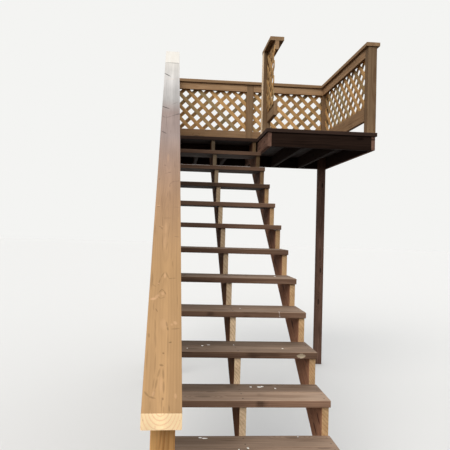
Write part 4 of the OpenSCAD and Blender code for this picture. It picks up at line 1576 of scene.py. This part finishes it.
def staple_crossings(bm, panel, rng):
    """Adds a staple across every crossing of a panel's slats."""
    half = panel.pitch * math.sqrt(0.5)
    most = math.ceil((panel.width + panel.height) / panel.pitch)
    for i in range(-most, most + 1):
        for j in range(-most, most + 1):
            x, y = panel.mid[0] + (i + j) * half, panel.mid[1] + (i - j) * half
            if min(x, y, panel.width - x, panel.height - y) <= STAPLE_MARGIN:
                continue
            turn = rng.uniform(-STAPLE_TURN, STAPLE_TURN)
            line = panel.run * math.cos(turn) + UP * math.sin(turn)
            cross = line.cross(panel.out).normalized()
            at = panel.start + panel.run * x + UP * y
            ends = []
            for far in (-STAPLE_HALF, STAPLE_HALF):
                ends.append([bm.verts.new(
                    at + line * (far * share * MM) + cross * (side * MM) + panel.out * (deep * MM))
                    for side, deep, share in STAPLE])
            for m in range(len(STAPLE)):
                p = (m + 1) % len(STAPLE)
                bm.faces.new((ends[0][m], ends[0][p], ends[1][p], ends[1][m]))
            bm.faces.new(ends[0][::-1])
            bm.faces.new(ends[1])


class DECKSTAIR_OT_lattice(bpy.types.Operator):
    """Lattice panels of crossed slats behind the guard's rails"""

    bl_idname = "deckstair.lattice"
    bl_label = "Lattice"

    def execute(self, context):
        tints = context.scene.deck_stair_colours
        # Rough-sawn cedar slats, tan with a few grey-green ones
        wood = timber("Rough-sawn cedar slat", tints.slat_pale, tints.slat_dark, ring=6, stain=0.18, wear=0.1,
                      knot_share=0.05, checks=0.3)
        grey = timber("Weathered cedar slat", tints.slat_grey, tints.slat_dark, ring=6, stain=0.22, wear=0.1,
                      knot_share=0.05, checks=0.3)
        staples = bmesh.new()
        for k, node in enumerate(("lattice_far_left", "lattice_far_right", "lattice_left", "lattice_right",
                                  "lattice_side")):
            rng = random.Random(600 + k)
            panel = panel_frame(node)
            finish_piece(f"{node}_slats", slats(panel, rng), [wood, grey], [node])
            staple_crossings(staples, panel, rng)
        bmesh.ops.recalc_face_normals(staples, faces=staples.faces)
        # Thin galvanised wire with a dull shine
        zinc = coating("Galvanised staple", tints.zinc, roughness=0.5, metallic=0.8, speckle=0.2, grit=2.0)
        finish_piece("lattice_staples", [staples], [zinc])
        return {"FINISHED"}


def seen_straight(tree):
    """1 where the camera sees a surface, straight or in a gloss, and 0 where light only bounces off it."""
    path = add(tree, "ShaderNodeLightPath").outputs
    seen = path["Is Camera Ray"]
    for ray in ("Is Glossy Ray", "Is Transmission Ray"):
        seen = add(tree, "ShaderNodeMath", {"operation": "MAXIMUM"}, {0: seen, 1: path[ray]}).outputs[0]
    return seen


# Colour of the floor for the light that bounces off it
DARK_EARTH = (0.06, 0.05, 0.045, 1)

# Tilt off the vertical, turn round it and colour of the two lamps
LAMPS = {"Soft sun": (50, -28, (1.0, 0.97, 0.92)), "Soft fill": (60, 150, (0.95, 0.97, 1.0))}

# Colour of the even light, and the backdrop that is seen in its place
DAYLIGHT = (0.96, 0.98, 1.0, 1)
BACKDROP = "#f4f4f2"


def make_floor(scene, pale):
    """A wide matt disc: pale where it is seen, and dark earth for the light, which keeps undersides dark."""
    material = empty_material("Matt studio floor")
    tree = material.node_tree
    tint = add(tree, "ShaderNodeMix", {"data_type": "RGBA"},
               {0: seen_straight(tree), 6: DARK_EARTH, 7: (*pale, 1)}).outputs[2]
    shader = add(tree, "ShaderNodeBsdfPrincipled", None,
                 {"Base Color": tint, "Roughness": 0.9, "Specular IOR Level": 0.1})
    add(tree, "ShaderNodeOutputMaterial", None, {0: shader.outputs[0]})
    mesh = bpy.data.meshes.new("studio_floor")
    disc = bmesh.new()
    bmesh.ops.create_circle(disc, cap_ends=True, segments=96, radius=60)
    disc.to_mesh(mesh)
    disc.free()
    mesh.materials.append(material)
    floor = bpy.data.objects.new("studio_floor", mesh)
    scene.collection.objects.link(floor)


def make_daylight(scene, stage):
    """Even light from all round, with a white backdrop in its place where it is seen."""
    world = bpy.data.worlds.new("Even studio light")
    scene.world = world
    world.use_nodes = True
    tree = world.node_tree
    tree.nodes.clear()
    way = add(tree, "ShaderNodeTexCoord").outputs["Generated"]
    rise = add(tree, "ShaderNodeSeparateXYZ", None, {0: way}).outputs[2]
    level = add(tree, "ShaderNodeMapRange", None, {
        "Value": rise, "From Min": 0.0, "From Max": 1.0,
        "To Min": stage.horizon, "To Max": stage.sky}).outputs[0]
    lit = add(tree, "ShaderNodeBackground", None, {0: DAYLIGHT, 1: level}).outputs[0]
    shown = add(tree, "ShaderNodeBackground", None, {0: (*linear(BACKDROP), 1), 1: 1.0}).outputs[0]
    both = add(tree, "ShaderNodeMixShader", None, {0: seen_straight(tree), 1: lit, 2: shown}).outputs[0]
    add(tree, "ShaderNodeOutputWorld", None, {0: both})


def make_lamps(scene, stage):
    """A soft sun from behind the camera and a weaker one from the far side."""
    for (name, (tilt, turn, tint)), power in zip(LAMPS.items(), (stage.sun, stage.fill)):
        sun = bpy.data.lights.new(name, "SUN")
        sun.energy = power
        sun.angle = stage.sun_size
        sun.color = tint
        lamp = bpy.data.objects.new(name, sun)
        scene.collection.objects.link(lamp)
        lamp.rotation_euler = (math.radians(tilt), 0, math.radians(turn))


def make_camera(scene, stage):
    """The photograph's camera: it turns about the vertical, then nods, then tips."""
    lens = bpy.data.cameras.new("Camera")
    lens.sensor_width = 36
    lens.lens = stage.lens
    lens.shift_x, lens.shift_y = stage.lens_shift
    lens.clip_end = 200
    camera = bpy.data.objects.new("Camera", lens)
    scene.collection.objects.link(camera)
    yaw, pitch, roll = stage.aim
    turn = Matrix(((math.cos(yaw), -math.sin(yaw), 0), (math.sin(yaw), math.cos(yaw), 0), (0, 0, 1)))
    nod = Matrix(((1, 0, 0), (0, math.cos(pitch), math.sin(pitch)), (0, -math.sin(pitch), math.cos(pitch))))
    tip = Matrix(((math.cos(roll), 0, -math.sin(roll)), (0, 1, 0), (math.sin(roll), 0, math.cos(roll))))
    right, ahead, up = tip @ nod @ turn
    axes = Matrix((right, up, -ahead)).transposed().to_4x4()
    camera.matrix_world = Matrix.Translation(stage.eye) @ axes
    scene.camera = camera


class DECKSTAIR_OT_stage(bpy.types.Operator):
    """Floor, light and the camera of the photograph"""

    bl_idname = "deckstair.stage"
    bl_label = "Stage"

    def execute(self, context):
        scene = context.scene
        stage = scene.deck_stair_stage
        make_floor(scene, scene.deck_stair_colours.floor)
        make_daylight(scene, stage)
        make_lamps(scene, stage)
        make_camera(scene, stage)
        scene.view_settings.view_transform = "Standard"
        return {"FINISHED"}


class DECKSTAIR_PT_panel(bpy.types.Panel):
    """Lists the makers of the deck stairs"""

    bl_label = "Deck Stairs"
    bl_idname = "DECKSTAIR_PT_panel"
    bl_space_type = "VIEW_3D"
    bl_region_type = "UI"
    bl_category = "Deck Stairs"

    def draw(self, context):
        for maker in OPERATORS:
            self.layout.operator(maker.bl_idname)
        for group in ("deck_stair_colours", "deck_stair_sizes", "deck_stair_stage"):
            box = self.layout.box()
            for key in getattr(context.scene, group).bl_rna.properties.keys():
                if key not in ("rna_type", "name"):
                    box.prop(getattr(context.scene, group), key)


OPERATORS = (
    DECKSTAIR_OT_stage,
    DECKSTAIR_OT_treads,
    DECKSTAIR_OT_stringers,
    DECKSTAIR_OT_handrail,
    DECKSTAIR_OT_deck,
    DECKSTAIR_OT_guard,
    DECKSTAIR_OT_lattice,
)
CLASSES = (DeckStairColours, DeckStairSizes, DeckStairStage) + OPERATORS + (DECKSTAIR_PT_panel,)


def register():
    """Registers the classes and hangs their settings on the scene."""
    for one in CLASSES:
        bpy.utils.register_class(one)
    bpy.types.Scene.deck_stair_colours = bpy.props.PointerProperty(type=DeckStairColours)
    bpy.types.Scene.deck_stair_sizes = bpy.props.PointerProperty(type=DeckStairSizes)
    bpy.types.Scene.deck_stair_stage = bpy.props.PointerProperty(type=DeckStairStage)


def unregister():
    """Takes the settings and the classes away again."""
    del bpy.types.Scene.deck_stair_colours
    del bpy.types.Scene.deck_stair_sizes
    del bpy.types.Scene.deck_stair_stage
    for one in reversed(CLASSES):
        bpy.utils.unregister_class(one)


def main():
    register()
    for maker in OPERATORS:
        group, action = maker.bl_idname.split(".")
        getattr(getattr(bpy.ops, group), action)()


if __name__ == "__main__":
    main()
